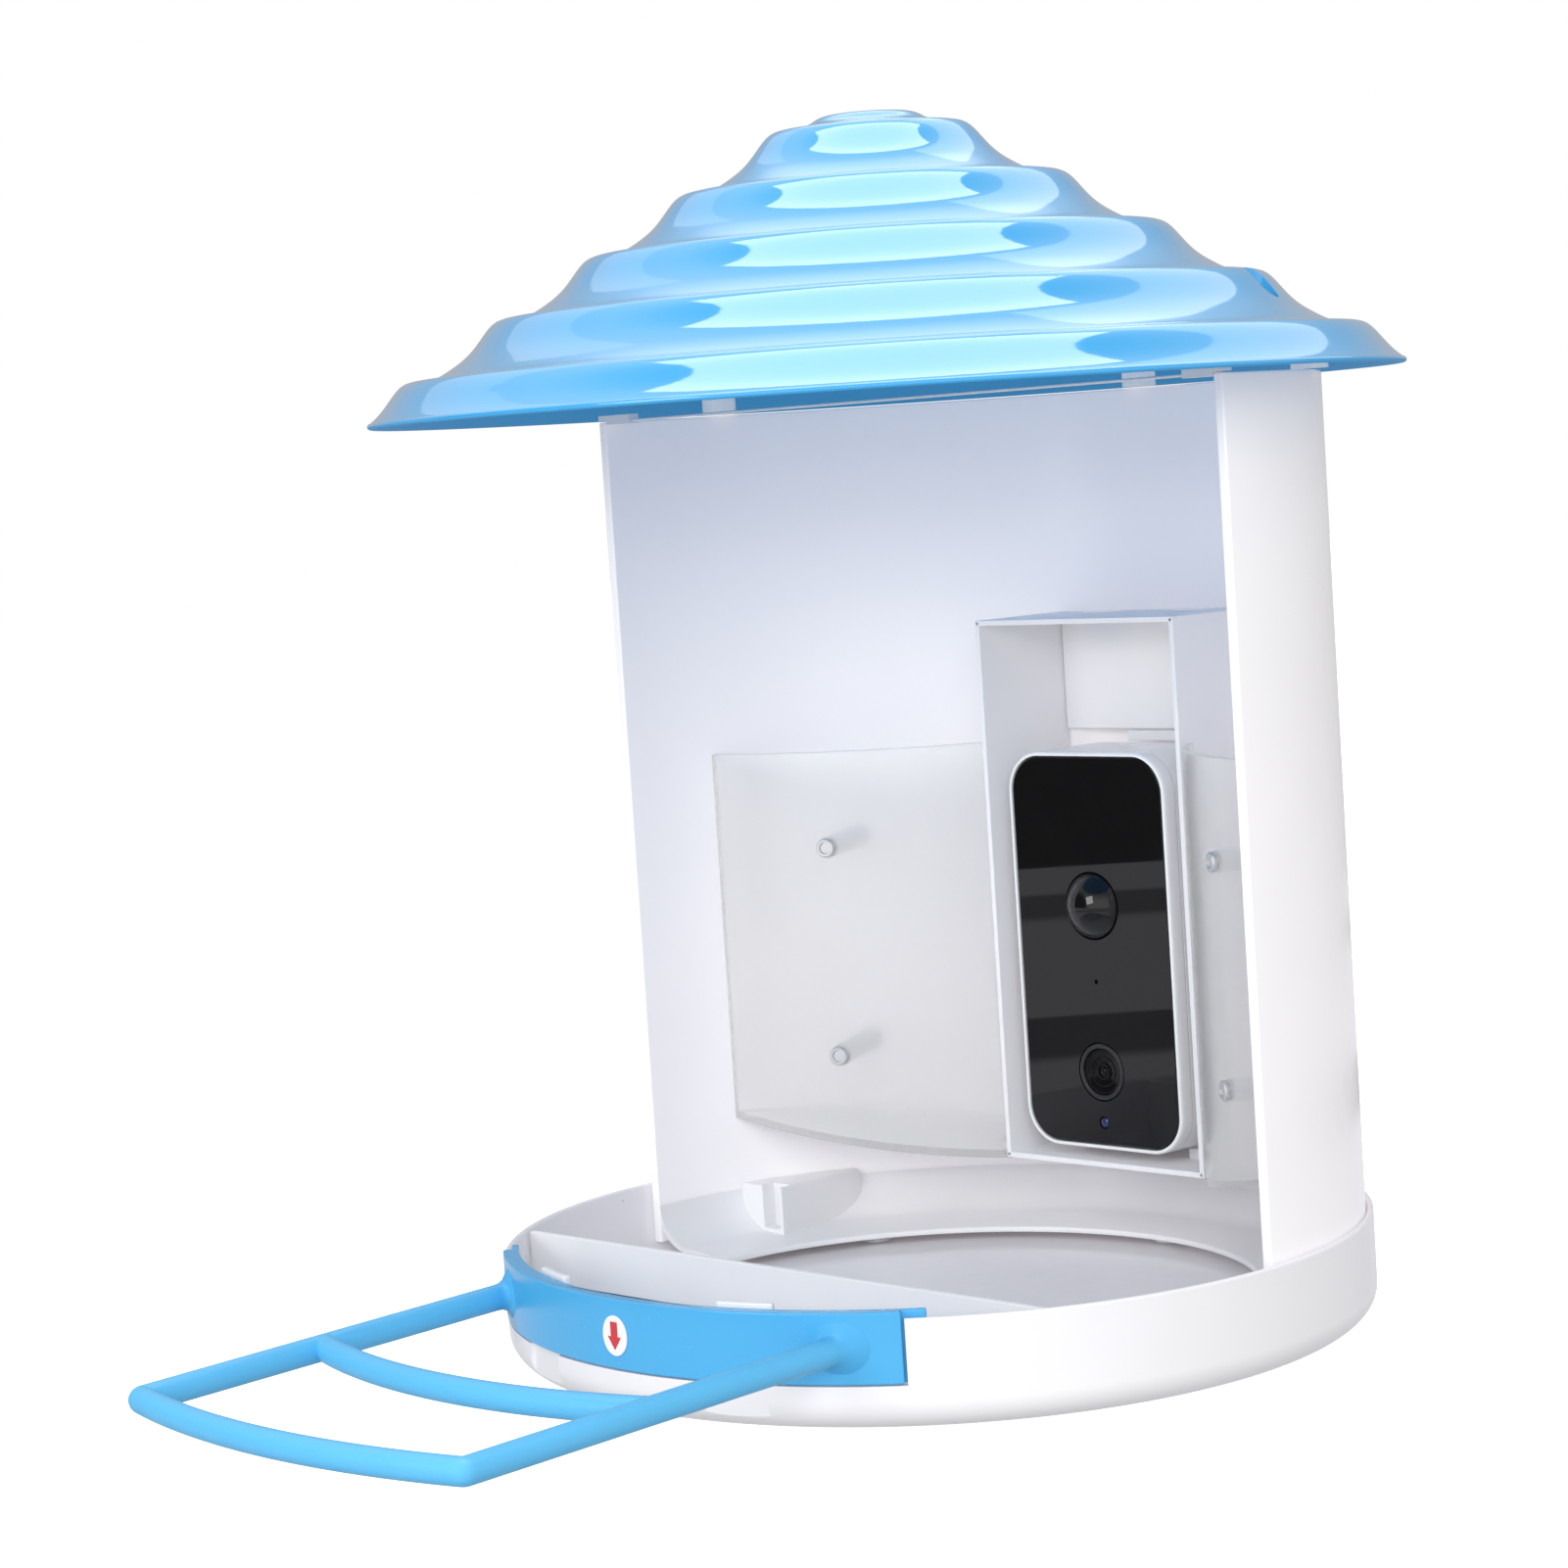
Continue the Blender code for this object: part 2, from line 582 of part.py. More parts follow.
slot_reach = TRAY_RADIUS + OVERRUN
slot_start, slot_end = -QUARTER_TURN - SLOT_HALF_ANGLE, -QUARTER_TURN + SLOT_HALF_ANGLE
slot_outline = (arc(slot_reach, slot_start, slot_end)
                + arc(TRAY_INNER - BAND_SKIN, slot_end, slot_start))
boolean(tray, plate("band_slot", [slot_outline], SLOT_FOOT, TRAY_TOP + OVERRUN))
for index, side in enumerate((-1, 1)):
    pad = block("front_pad_%d" % index, (-PAD_WIDTH * HALF, TRAY_RADIUS - PAD_DEPTH, -OVERRUN),
                (PAD_WIDTH * HALF, TRAY_RADIUS + OVERRUN, SLOT_FOOT))
    pad.matrix_world = Matrix.Rotation(HALF_TURN + side * PAD_ANGLE, 4, "Z")
    boolean(tray, pad)

# Posts under the flange, with the screws that hold them from below
posts, screws = [], []
for index in range(POST_COUNT):
    angle = QUARTER_TURN + (index - 1) * POST_SPREAD
    post = rod("post_%d" % index, POST_RADIUS, polar(POST_PLACE, angle, TRAY_FLOOR + FIT_GAP),
               polar(POST_PLACE, angle, POST_TOP))
    bore = rod("screw_bore_%d" % index, SCREW_RADIUS + FIT_GAP, polar(POST_PLACE, angle, -OVERRUN),
               polar(POST_PLACE, angle, TRAY_FLOOR + OVERRUN))
    posts.append(boolean(post, bore))
    boolean(tray, bore)
    screws.append(screw("screw", polar(POST_PLACE, angle, FOOT_RING_HEIGHT - FIT_GAP), (0, 0, -1),
                        SCREW_HEAD_RADIUS, SCREW_HEAD_HEIGHT, SCREW_RADIUS, SCREW_LENGTH))
smooth(tray)
place_each("flange_post", posts, WHITE, SATIN)
place_each("base_screw", screws, STEEL, SATIN, METAL)

# Tray divider: an upright plate across the tray with round lower corners
reach = math.sqrt(TRAY_INNER ** 2 - (DIVIDER_PLACE + DIVIDER_SKIN * HALF) ** 2) - FIT_GAP
low, high = TRAY_FLOOR + FIT_GAP, TRAY_TOP - DIVIDER_DROP
divider_outline = [(reach, high), (-reach, high)]
divider_outline += arc(DIVIDER_CORNER, HALF_TURN, HALF_TURN + QUARTER_TURN, CORNER_STEPS,
                       (-reach + DIVIDER_CORNER, low + DIVIDER_CORNER))
divider_outline += arc(DIVIDER_CORNER, -QUARTER_TURN, 0, CORNER_STEPS,
                       (reach - DIVIDER_CORNER, low + DIVIDER_CORNER))
place(plate("tray_divider", [divider_outline], -DIVIDER_PLACE - DIVIDER_SKIN * HALF,
            -DIVIDER_PLACE + DIVIDER_SKIN * HALF, upright=True), WHITE, SATIN)

# Band clips: two short upright tabs behind the band
flange_outer = TRAY_INNER - FIT_GAP
flange_inner = flange_outer - BAND_FLANGE_SKIN
clip_outer = flange_inner - FIT_GAP
clip_across = clip_outer - (TRAY_INNER - TRAY_FILLET_INNER)
clip_foot = WALL_FOOT - math.sqrt((TRAY_FILLET_INNER - FIT_GAP) ** 2 - clip_across ** 2)
for name, side in (("band_clip_left", -1), ("band_clip_right", 1)):
    start = -QUARTER_TURN + side * CLIP_ANGLE - CLIP_WIDTH_ANGLE * HALF
    end = start + CLIP_WIDTH_ANGLE
    outline = (arc(clip_outer, start, end, CORNER_STEPS)
               + arc(clip_outer - CLIP_SKIN, end, start, CORNER_STEPS))
    place(plate(name, [outline], clip_foot, TRAY_TOP + CLIP_RISE), WHITE, SATIN)

# Perch band: a curved plate that fills the slot, with a wider flange behind it
band_start, band_end = -QUARTER_TURN - BAND_HALF_ANGLE, -QUARTER_TURN + BAND_HALF_ANGLE
wide_start = -QUARTER_TURN - BAND_FLANGE_HALF_ANGLE
wide_end = -QUARTER_TURN + BAND_FLANGE_HALF_ANGLE
band_outline = (arc(BAND_RADIUS, band_start, band_end)
                + [(flange_outer * math.cos(band_end), flange_outer * math.sin(band_end)),
                   (flange_outer * math.cos(wide_end), flange_outer * math.sin(wide_end))]
                + arc(flange_inner, wide_end, wide_start)
                + [(flange_outer * math.cos(wide_start), flange_outer * math.sin(wide_start)),
                   (flange_outer * math.cos(band_start), flange_outer * math.sin(band_start))])
smooth(place(plate("perch_band", [band_outline], BAND_FOOT, BAND_TOP), BLUE, GLOSS))

# Perch frame: two drooping arms with flared roots and two bars curved about the tray's axis
arm_root = -math.sqrt(BAND_RADIUS ** 2 - ARM_PLACE ** 2)
arm_end = -math.sqrt(END_BAR_RADIUS ** 2 - ARM_PLACE ** 2)
arm_mid = -math.sqrt(MID_BAR_RADIUS ** 2 - ARM_PLACE ** 2)
arm_fall = (ARM_END_HEIGHT - ARM_ROOT_HEIGHT) / (arm_end - arm_root)


def arm_height(along):
    """Height of the arms' centre line at a place along Y."""
    return ARM_ROOT_HEIGHT + arm_fall * (along - arm_root)


def bar_points(radius, along_at_arm):
    """Centre line of a bar between the two arms."""
    reach = math.asin(ARM_PLACE / radius)
    height = arm_height(along_at_arm)
    return [polar(radius, angle, height)
            for angle in np.linspace(-QUARTER_TURN - reach, -QUARTER_TURN + reach, BAR_STEPS + 1)]


def tube(name, points, radius):
    """A round rail along points, with filled ends."""
    curve = bpy.data.curves.new(name, "CURVE")
    curve.dimensions = "3D"
    curve.bevel_depth = radius
    curve.bevel_resolution = RAIL_STEPS
    curve.use_fill_caps = True
    spline = curve.splines.new("POLY")
    spline.points.add(len(points) - 1)
    for point, centre in zip(spline.points, points):
        point.co = (*centre, SPLINE_WEIGHT)
    source = bpy.data.objects.new(name, curve)
    cutters.objects.link(source)
    graph = bpy.context.evaluated_depsgraph_get()
    graph.update()
    mesh = bpy.data.meshes.new_from_object(source.evaluated_get(graph))
    bpy.data.objects.remove(source, do_unlink=True)
    bm = bmesh.new()
    bm.from_mesh(mesh)
    bmesh.ops.remove_doubles(bm, verts=bm.verts, dist=MERGE)
    return from_bmesh(name, bm)


loop = ([Vector((-ARM_PLACE, arm_root + OVERRUN, arm_height(arm_root)))]
        + bar_points(END_BAR_RADIUS, arm_end)
        + [Vector((ARM_PLACE, arm_root + OVERRUN, arm_height(arm_root)))])
perch_frame = place(tube("perch_frame", loop, ROD_RADIUS), BLUE_MATT, MATT)
boolean(perch_frame, tube("middle_bar", bar_points(MID_BAR_RADIUS, arm_mid), ROD_RADIUS), "UNION")
for index, side in enumerate((-1, 1)):
    root = Vector((side * ARM_PLACE, arm_root + OVERRUN, arm_height(arm_root)))
    tip = Vector((side * ARM_PLACE, arm_root - ROD_FLARE_LENGTH, arm_height(arm_root - ROD_FLARE_LENGTH)))
    boolean(perch_frame, rod("root_flare_%d" % index, ROD_FLARE, root, tip, ROD_RADIUS), "UNION")
boolean(perch_frame, rod("band_face", BAND_RADIUS + FIT_GAP, (0, 0, -OVERRUN), (0, 0, BAND_TOP + OVERRUN),
                         steps=FINE_STEPS))
smooth(perch_frame)


# Sticker and arrow: thin pieces on the front of the band
def ellipse(half_width, half_height, middle):
    """An oval outline, (x, z)."""
    return [(half_width * math.cos(angle), middle + half_height * math.sin(angle))
            for angle in np.linspace(0, FULL_TURN, SMALL_STEPS, endpoint=False)]


sticker_front = -BAND_RADIUS - STICKER_GAP - STICKER_SKIN
sticker = plate("arrow_sticker", [ellipse(STICKER_WIDTH * HALF, STICKER_HEIGHT * HALF, STICKER_PLACE)],
                sticker_front, sticker_front + STICKER_SKIN, upright=True)
place(sticker, STICKER_WHITE, SATIN)
shaft, head = ARROW_WIDTH * HALF * ARROW_SHAFT_SHARE, ARROW_WIDTH * HALF
arrow_top, arrow_foot = STICKER_PLACE + ARROW_HEIGHT * HALF, STICKER_PLACE - ARROW_HEIGHT * HALF
neck = arrow_foot + ARROW_HEIGHT * ARROW_HEAD_SHARE
arrow_outline = [(-shaft, arrow_top), (-shaft, neck), (-head, neck), (0, arrow_foot), (head, neck),
                 (shaft, neck), (shaft, arrow_top)]
arrow_back = sticker_front - STICKER_GAP
place(plate("arrow_mark", [arrow_outline], arrow_back - ARROW_SKIN, arrow_back, upright=True), RED, SATIN)

# Camera box: a thin tube of four walls, open to the front and the back
outer_box = [(-BOX_HALF_WIDTH, BOX_FOOT), (BOX_HALF_WIDTH, BOX_FOOT), (BOX_HALF_WIDTH, BOX_TOP),
             (-BOX_HALF_WIDTH, BOX_TOP)]
room_half = BOX_HALF_WIDTH - BOX_SKIN
room_low, room_high = BOX_FOOT + BOX_SKIN, BOX_TOP - BOX_SKIN
rail_near, rail_far = BOX_RAIL_PLACE - BOX_RAIL_WIDTH * HALF, BOX_RAIL_PLACE + BOX_RAIL_WIDTH * HALF
box_room = [(-room_half, room_low), (-rail_far, room_low), (-rail_far, BOX_RAIL_TOP),
            (-rail_near, BOX_RAIL_TOP), (-rail_near, room_low), (rail_near, room_low),
            (rail_near, BOX_RAIL_TOP), (rail_far, BOX_RAIL_TOP), (rail_far, room_low),
            (room_half, room_low), (room_half, room_high), (-room_half, room_high)]
camera_box = place(plate("camera_box", [outer_box, box_room], BOX_FRONT, BOX_BACK, upright=True),
                   WHITE_BRIGHT, SATIN)
for index, side in enumerate((-1, 1)):
    middle = side * NOTCH_PLACE
    notch_back = BOX_BACK - NOTCH_PLACE_BACK
    boolean(camera_box, block("top_notch_%d" % index,
                              (middle - NOTCH_WIDTH * HALF, notch_back - NOTCH_DEPTH, room_high - OVERRUN),
                              (middle + NOTCH_WIDTH * HALF, notch_back, BOX_TOP + OVERRUN)))

# Back plate and latch: behind the upper part of the box, above the camera
plate_half = room_half - FIT_GAP
back_plate = block("box_back_plate", (-plate_half, BOX_BACK - BACK_PLATE_SKIN, BACK_PLATE_FOOT),
                   (plate_half, BOX_BACK, room_high - FIT_GAP))
place(back_plate, WHITE_BRIGHT, SATIN)
latch_top = BACK_PLATE_FOOT - FIT_GAP
place(block("camera_latch", (-LATCH_WIDTH * HALF, BOX_BACK - LATCH_DEPTH, latch_top - LATCH_HEIGHT),
            (LATCH_WIDTH * HALF, BOX_BACK, latch_top)), WHITE, SATIN)

# Seed bins
sheet_far = math.asin((SHEET_CENTRE_X - BOX_SIDE) / SHEET_RADIUS)


def sheet_wall_angle():
    """Angle about the sheet's centre at which the sheet meets the room's radius."""
    distance = math.hypot(SHEET_CENTRE_X, SHEET_CENTRE_Y)
    spread = math.acos((distance ** 2 + SHEET_RADIUS ** 2 - ROOM_RADIUS ** 2)
                       / (2 * distance * SHEET_RADIUS))
    towards_axis = math.atan2(-SHEET_CENTRE_Y, -SHEET_CENTRE_X)
    return towards_axis + spread


def mirrored(side, outline):
    """An outline on the side asked for."""
    return [(side * across, along) for across, along in outline]


centre = (SHEET_CENTRE_X, SHEET_CENTRE_Y)
at_box = -QUARTER_TURN - sheet_far
at_wall = sheet_wall_angle()
sheet_front = arc(SHEET_RADIUS, at_wall, at_box, BAR_STEPS, centre)
wall_start = math.acos(BOX_SIDE / ROOM_RADIUS)
wall_end = math.atan2(sheet_front[0][1], sheet_front[0][0])
bin_outline = sheet_front + arc(ROOM_RADIUS, wall_start, wall_end, BAR_STEPS)[:-1]
spill = OVERRUN / SHEET_RADIUS
hollow_outline = arc(SHEET_RADIUS - SHEET_SKIN, at_wall + spill, at_box - spill, BAR_STEPS, centre)
hollow_outline += [(hollow_outline[-1][0], TRAY_RADIUS), (TRAY_RADIUS + OVERRUN, TRAY_RADIUS),
                   (TRAY_RADIUS + OVERRUN, hollow_outline[0][1])]
floor_tilt = math.atan(BIN_FLOOR_RISE)


def floor_block(name, side, top):
    """A big block whose upper face is the slope of a bin floor."""
    size = TRAY_RADIUS + TRAY_RADIUS
    body = block(name, (-size, -size, -size), (size, size, 0))
    body.matrix_world = (Matrix.Translation((side * BOX_HALF_WIDTH, 0, top))
                         @ Matrix.Rotation(-side * floor_tilt, 4, "Y"))
    return body


pin_drop = -math.asin(math.sqrt(SHEET_RADIUS ** 2 - (SHEET_CENTRE_X - PIN_PLACE) ** 2) / SHEET_RADIUS)
pin_out = Vector((-math.cos(pin_drop), math.sin(pin_drop), 0))
pin_screws = []
for name, side in (("seed_bin_left", -1), ("seed_bin_right", 1)):
    outward = Vector((side * pin_out.x, pin_out.y, 0))
    middle = Vector((side * SHEET_CENTRE_X, SHEET_CENTRE_Y, 0))
    bin_body = place(plate(name, [mirrored(side, bin_outline)], 0, SHEET_TOP), FROST, SATIN)
    hollow = keep_as_cutter(plate(name + "_hollow", [mirrored(side, hollow_outline)], 0,
                                  SHEET_TOP + OVERRUN))
    boolean(hollow, floor_block(name + "_floor", side, BIN_FLOOR_FOOT + BIN_FLOOR_SKIN))
    boolean(bin_body, hollow)
    boolean(bin_body, floor_block(name + "_under", side, BIN_FLOOR_FOOT))
    boolean(bin_body, rod(name + "_outlet", OUTLET_RADIUS, (side * BOX_HALF_WIDTH, OUTLET_PLACE, 0),
                          (side * BOX_HALF_WIDTH, OUTLET_PLACE, SHEET_TOP * HALF)))
    pins = []
    for index, rise in enumerate(PIN_RISES):
        lift = Vector((0, 0, BOX_FOOT + rise))
        seat = middle + outward * SHEET_RADIUS + lift
        rear = middle + outward * (SHEET_RADIUS - SHEET_SKIN - FIT_GAP) + lift
        boolean(bin_body, rod("%s_hole_%d" % (name, index), PIN_SHANK_RADIUS + FIT_GAP,
                              seat + outward * OVERRUN, seat - outward * OVERRUN))
        along = rear.x * outward.x + rear.y * outward.y
        flat = rear.x ** 2 + rear.y ** 2
        reach = along + math.sqrt(along ** 2 - flat + (ROOM_RADIUS - PIN_RADIUS * HALF) ** 2)
        pin = rod("%s_pin_%d" % (name, index), PIN_RADIUS, rear, rear - outward * reach)
        boolean(pin, rod("%s_bore_%d" % (name, index), PIN_SHANK_RADIUS + FIT_GAP,
                         rear + outward * OVERRUN, rear - outward * PIN_BORE_DEPTH))
        pins.append(pin)
        pin_screws.append(screw("screw", seat + outward * FIT_GAP, outward, PIN_HEAD_RADIUS,
                                PIN_HEAD_HEIGHT, PIN_SHANK_RADIUS, PIN_SHANK_LENGTH))
    place_each(name.replace("seed_bin", "bin_pin"), pins, FROST, SATIN)
place_each("bin_screw", pin_screws, STEEL, SATIN, METAL)


# Camera module
def slab(name, half_width, low, high, corner, front, back, holes=()):
    """An upright plate with round corners and round holes given as (height, radius)."""
    outlines = [rounded_rectangle(half_width, low, high, corner)]
    outlines += [arc(radius, 0, FULL_TURN, SMALL_STEPS, (0, height))[:-1] for height, radius in holes]
    return plate(name, outlines, front, back, upright=True)


cam_case = slab("camera_case", CAM_HALF_WIDTH, CAM_FOOT, CAM_TOP, CAM_CORNER, CAM_SEAM, CAM_BACK)
place(cam_case, WHITE_BRIGHT, GLOSS)
boolean(cam_case, slab("case_room", CAM_HALF_WIDTH - CAM_SKIN, CAM_FOOT + CAM_SKIN, CAM_TOP - CAM_SKIN,
                       CAM_CORNER - CAM_SKIN, CAM_SEAM - OVERRUN, CAM_BACK - CAM_SKIN))
smooth(cam_case)

glass_low, glass_high = CAM_FOOT + GLASS_INSET, CAM_TOP - GLASS_INSET
glass_corner = CAM_CORNER - GLASS_INSET
glass_front = CAM_FRONT + GLASS_SET_BACK
glass_back = glass_front + GLASS_SKIN
bezel = slab("camera_bezel", CAM_HALF_WIDTH, CAM_FOOT, CAM_TOP, CAM_CORNER, CAM_FRONT,
             CAM_SEAM - FIT_GAP)
place(bezel, WHITE_BRIGHT, GLOSS)
boolean(bezel, slab("bezel_mouth", GLASS_HALF_WIDTH + FIT_GAP, glass_low - FIT_GAP, glass_high + FIT_GAP,
                    glass_corner + FIT_GAP, CAM_FRONT - OVERRUN, CAM_SEAM + OVERRUN))
smooth(bezel)

glass_holes = ((DOME_HEIGHT, DOME_RADIUS + FIT_GAP), (LENS_HEIGHT, LENS_RING_RADIUS + FIT_GAP),
               (LIGHT_HEIGHT, LIGHT_RADIUS + FIT_GAP), (MIC_HEIGHT, MIC_HOLE_RADIUS))
front_glass = slab("front_glass", GLASS_HALF_WIDTH, glass_low, glass_high, glass_corner, glass_front,
                   glass_back, glass_holes)
smooth(place(front_glass, BLACK_GLASS, MIRROR_GLOSS))


def facing(obj, height, front):
    """Lay a piece turned about Z on its side, so that its +Z points to the front."""
    obj.matrix_world = Matrix.Translation((0, front, height)) @ Matrix.Rotation(QUARTER_TURN, 4, "X")
    return obj


# Sensor dome: a cap of a sphere with a short skirt, and the sensor can behind it
cap_radius = (DOME_RADIUS ** 2 / DOME_BULGE + DOME_BULGE) * HALF
cap_angle = math.asin(DOME_RADIUS / cap_radius)
outer_cap = [(cap_radius * math.sin(angle), cap_radius * math.cos(angle) - cap_radius + DOME_BULGE)
             for angle in np.linspace(0, cap_angle, CORNER_STEPS + 1)]
inner_cap = [(radius * (DOME_RADIUS - DOME_SKIN) / DOME_RADIUS, height - DOME_SKIN)
             for radius, height in outer_cap]
dome_profile = outer_cap + [(DOME_RADIUS, -DOME_SKIRT), (DOME_RADIUS - DOME_SKIN, -DOME_SKIRT)]
dome_profile += inner_cap[::-1]
dome = place(turned("sensor_dome", dome_profile, SMALL_STEPS), DARK_PART, MIRROR_GLOSS)
smooth(facing(dome, DOME_HEIGHT, glass_front))
pir_front = glass_front + DOME_SKIRT + FIT_GAP
place(smooth(rod("motion_sensor", PIR_RADIUS, (0, pir_front, DOME_HEIGHT),
                 (0, BOARD_FRONT - FIT_GAP, DOME_HEIGHT))), STEEL, SATIN, METAL)

# Lens: a ring in the glass, a clear cover in the ring, and the barrel that runs back to the board
ring_inner = LENS_RING_RADIUS - LENS_RING_SKIN
ring_outline = [(LENS_RING_RADIUS, 0), (LENS_RING_RADIUS, -GLASS_SKIN), (ring_inner, -GLASS_SKIN),
                (ring_inner, 0)]
place(facing(turned("lens_ring", ring_outline, SMALL_STEPS), LENS_HEIGHT, glass_front), DARK_PART, GLOSS)
smooth(bpy.data.objects["lens_ring"])
cover_front = glass_front + FIT_GAP
cover = rod("lens_cover", ring_inner - FIT_GAP, (0, cover_front, LENS_HEIGHT),
            (0, cover_front + LENS_COVER_SKIN, LENS_HEIGHT))
smooth(place(cover, BLACK_GLASS, MIRROR_GLOSS))
barrel_front = cover_front + LENS_COVER_SKIN + FIT_GAP
sensor_front = BOARD_FRONT - FIT_GAP - SENSOR_DEPTH
barrel = rod("lens_barrel", LENS_RADIUS, (0, barrel_front, LENS_HEIGHT),
             (0, sensor_front - FIT_GAP, LENS_HEIGHT))
boolean(place(barrel, DARK_PART, SATIN), rod("lens_seat", LENS_EYE_RADIUS + FIT_GAP,
        (0, barrel_front - OVERRUN, LENS_HEIGHT), (0, barrel_front + LENS_EYE_DEPTH + FIT_GAP, LENS_HEIGHT)))
smooth(barrel)
eye = rod("lens_eye", LENS_EYE_RADIUS, (0, barrel_front, LENS_HEIGHT),
          (0, barrel_front + LENS_EYE_DEPTH, LENS_HEIGHT))
smooth(place(eye, BLACK_GLASS, MIRROR_GLOSS))
half_sensor = SENSOR_SIDE * HALF
place(block("image_sensor", (-half_sensor, sensor_front, LENS_HEIGHT - half_sensor),
            (half_sensor, sensor_front + SENSOR_DEPTH, LENS_HEIGHT + half_sensor)), DARK_PART, SATIN)

# Status light, microphone, circuit board, battery cells and speaker
light = rod("status_light", LIGHT_RADIUS, (0, glass_front, LIGHT_HEIGHT), (0, glass_back, LIGHT_HEIGHT))
smooth(place(light, LIGHT_BLUE_LENS, GLOSS))
mic_front = glass_back + FIT_GAP
smooth(place(rod("microphone", MIC_RADIUS, (0, mic_front, MIC_HEIGHT),
                 (0, mic_front + MIC_DEPTH, MIC_HEIGHT)), STEEL, SATIN, METAL))
place(block("circuit_board", (-BOARD_HALF_WIDTH, BOARD_FRONT, BOARD_FOOT),
            (BOARD_HALF_WIDTH, BOARD_FRONT + BOARD_SKIN, BOARD_FOOT + BOARD_HEIGHT)), BOARD_GREEN, SATIN)
cell_depth = BOARD_FRONT + BOARD_SKIN + FIT_GAP + BATTERY_RADIUS
cells = [rod("cell", BATTERY_RADIUS, (side * BATTERY_PLACE, cell_depth, BATTERY_FOOT),
             (side * BATTERY_PLACE, cell_depth, BATTERY_FOOT + BATTERY_LENGTH)) for side in (-1, 1)]
place_each("battery_cell", cells, CELL_SLEEVE, SATIN)
speaker_back = CAM_BACK - CAM_SKIN - FIT_GAP
smooth(place(rod("speaker", SPEAKER_RADIUS, (0, speaker_back - SPEAKER_DEPTH, SPEAKER_HEIGHT),
                 (0, speaker_back, SPEAKER_HEIGHT)), DARK_PART, SATIN))
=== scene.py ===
# %% [markdown]
# # A smart bird feeder, dressed for its picture
# The packed solids give every place and size. This script puts a finer skin over the ones that
# show, and gives each of them a moulded-plastic finish. Everything is in metres, +Z is up, the
# tray's axis is the Z axis and the open front faces -Y. The frame is loaded first, because each
# later cell asks it for a place.

# %% The frame
import math

import bmesh
import bpy
import numpy as np
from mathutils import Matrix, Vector
from mathutils.geometry import tessellate_polygon


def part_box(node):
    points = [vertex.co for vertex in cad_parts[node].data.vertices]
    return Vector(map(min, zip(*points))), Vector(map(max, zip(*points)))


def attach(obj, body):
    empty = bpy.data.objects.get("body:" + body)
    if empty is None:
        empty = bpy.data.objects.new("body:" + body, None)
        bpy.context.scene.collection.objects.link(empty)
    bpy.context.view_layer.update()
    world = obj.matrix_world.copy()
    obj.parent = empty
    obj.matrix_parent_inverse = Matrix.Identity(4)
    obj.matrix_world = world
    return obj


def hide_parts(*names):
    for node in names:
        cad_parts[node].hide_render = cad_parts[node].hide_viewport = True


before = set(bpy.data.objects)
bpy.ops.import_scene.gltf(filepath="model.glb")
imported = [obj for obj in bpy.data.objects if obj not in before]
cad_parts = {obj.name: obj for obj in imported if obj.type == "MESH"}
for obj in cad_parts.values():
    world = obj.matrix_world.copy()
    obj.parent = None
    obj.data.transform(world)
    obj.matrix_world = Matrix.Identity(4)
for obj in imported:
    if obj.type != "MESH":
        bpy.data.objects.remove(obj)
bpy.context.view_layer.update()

# %% [markdown]
# ## The camera
# The photograph was taken from the right of the open front, a little above the tray, with the
# feeder leaning slightly in the picture. A camera could be aimed by eye, or fitted to points
# that are easy to find on round parts, such as the tray's rim and the roof's edge. The fit is
# used here. It gives an azimuth, a height angle, a roll and a distance.

# %% Camera
AZIMUTH, ELEVATION, ROLL = math.radians(46.006), math.radians(4.729), math.radians(-3.749)
DISTANCE, LENS, SENSOR = 0.78965, 87.965, 36.0
AIM_ACROSS, AIM_HEIGHT = -0.02574, 0.11497

to_right = np.array([math.cos(AZIMUTH), math.sin(AZIMUTH), 0])
to_camera = np.array([math.sin(AZIMUTH) * math.cos(ELEVATION), -math.cos(AZIMUTH) * math.cos(ELEVATION),
                      math.sin(ELEVATION)])
to_top = np.cross(to_camera, to_right)
picture_right = math.cos(ROLL) * to_right + math.sin(ROLL) * to_top
picture_up = math.cos(ROLL) * to_top - math.sin(ROLL) * to_right
aim = AIM_ACROSS * to_right + np.array([0, 0, AIM_HEIGHT])


def added(name, data):
    """A new object in the scene."""
    made = bpy.data.objects.new(name, data)
    bpy.context.scene.collection.objects.link(made)
    return made


def placed(name, data, axes, place):
    """An object for a camera or a light, with its three axes and its place."""
    matrix = np.eye(4)
    matrix[:3, :3], matrix[:3, 3] = np.stack(axes, -1), place
    made = added(name, data)
    made.matrix_world = [list(column) for column in matrix.T]
    return made


camera = placed("picture_camera", bpy.data.cameras.new("picture_camera"),
                (picture_right, picture_up, to_camera), aim + DISTANCE * to_camera)
camera.data.lens, camera.data.sensor_width = LENS, SENSOR
camera.data.clip_start, camera.data.clip_end = 0.01, 50
bpy.context.scene.camera = camera
print("camera at", np.round(camera.location, 4))

# %% [markdown]
# ## From arrays to meshes
# Nearly every plastic piece here is one of three forms: a profile turned about the axis, an
# outline raised through levels, or a rod along a path. All three are grids: a point is a function
# of two numbers. They could be drawn with Blender's own tools, but a grid worked out with numpy
# keeps each size exact and its edges rounded.

# %% Grid to mesh
SHARP, HAIR = math.radians(40), 1e-7


def smoothed(mesh):
    """Shade a mesh as one smooth skin that breaks only at its sharp edges."""
    mesh.shade_smooth()
    mesh.set_sharp_from_angle(angle=SHARP)
    return mesh


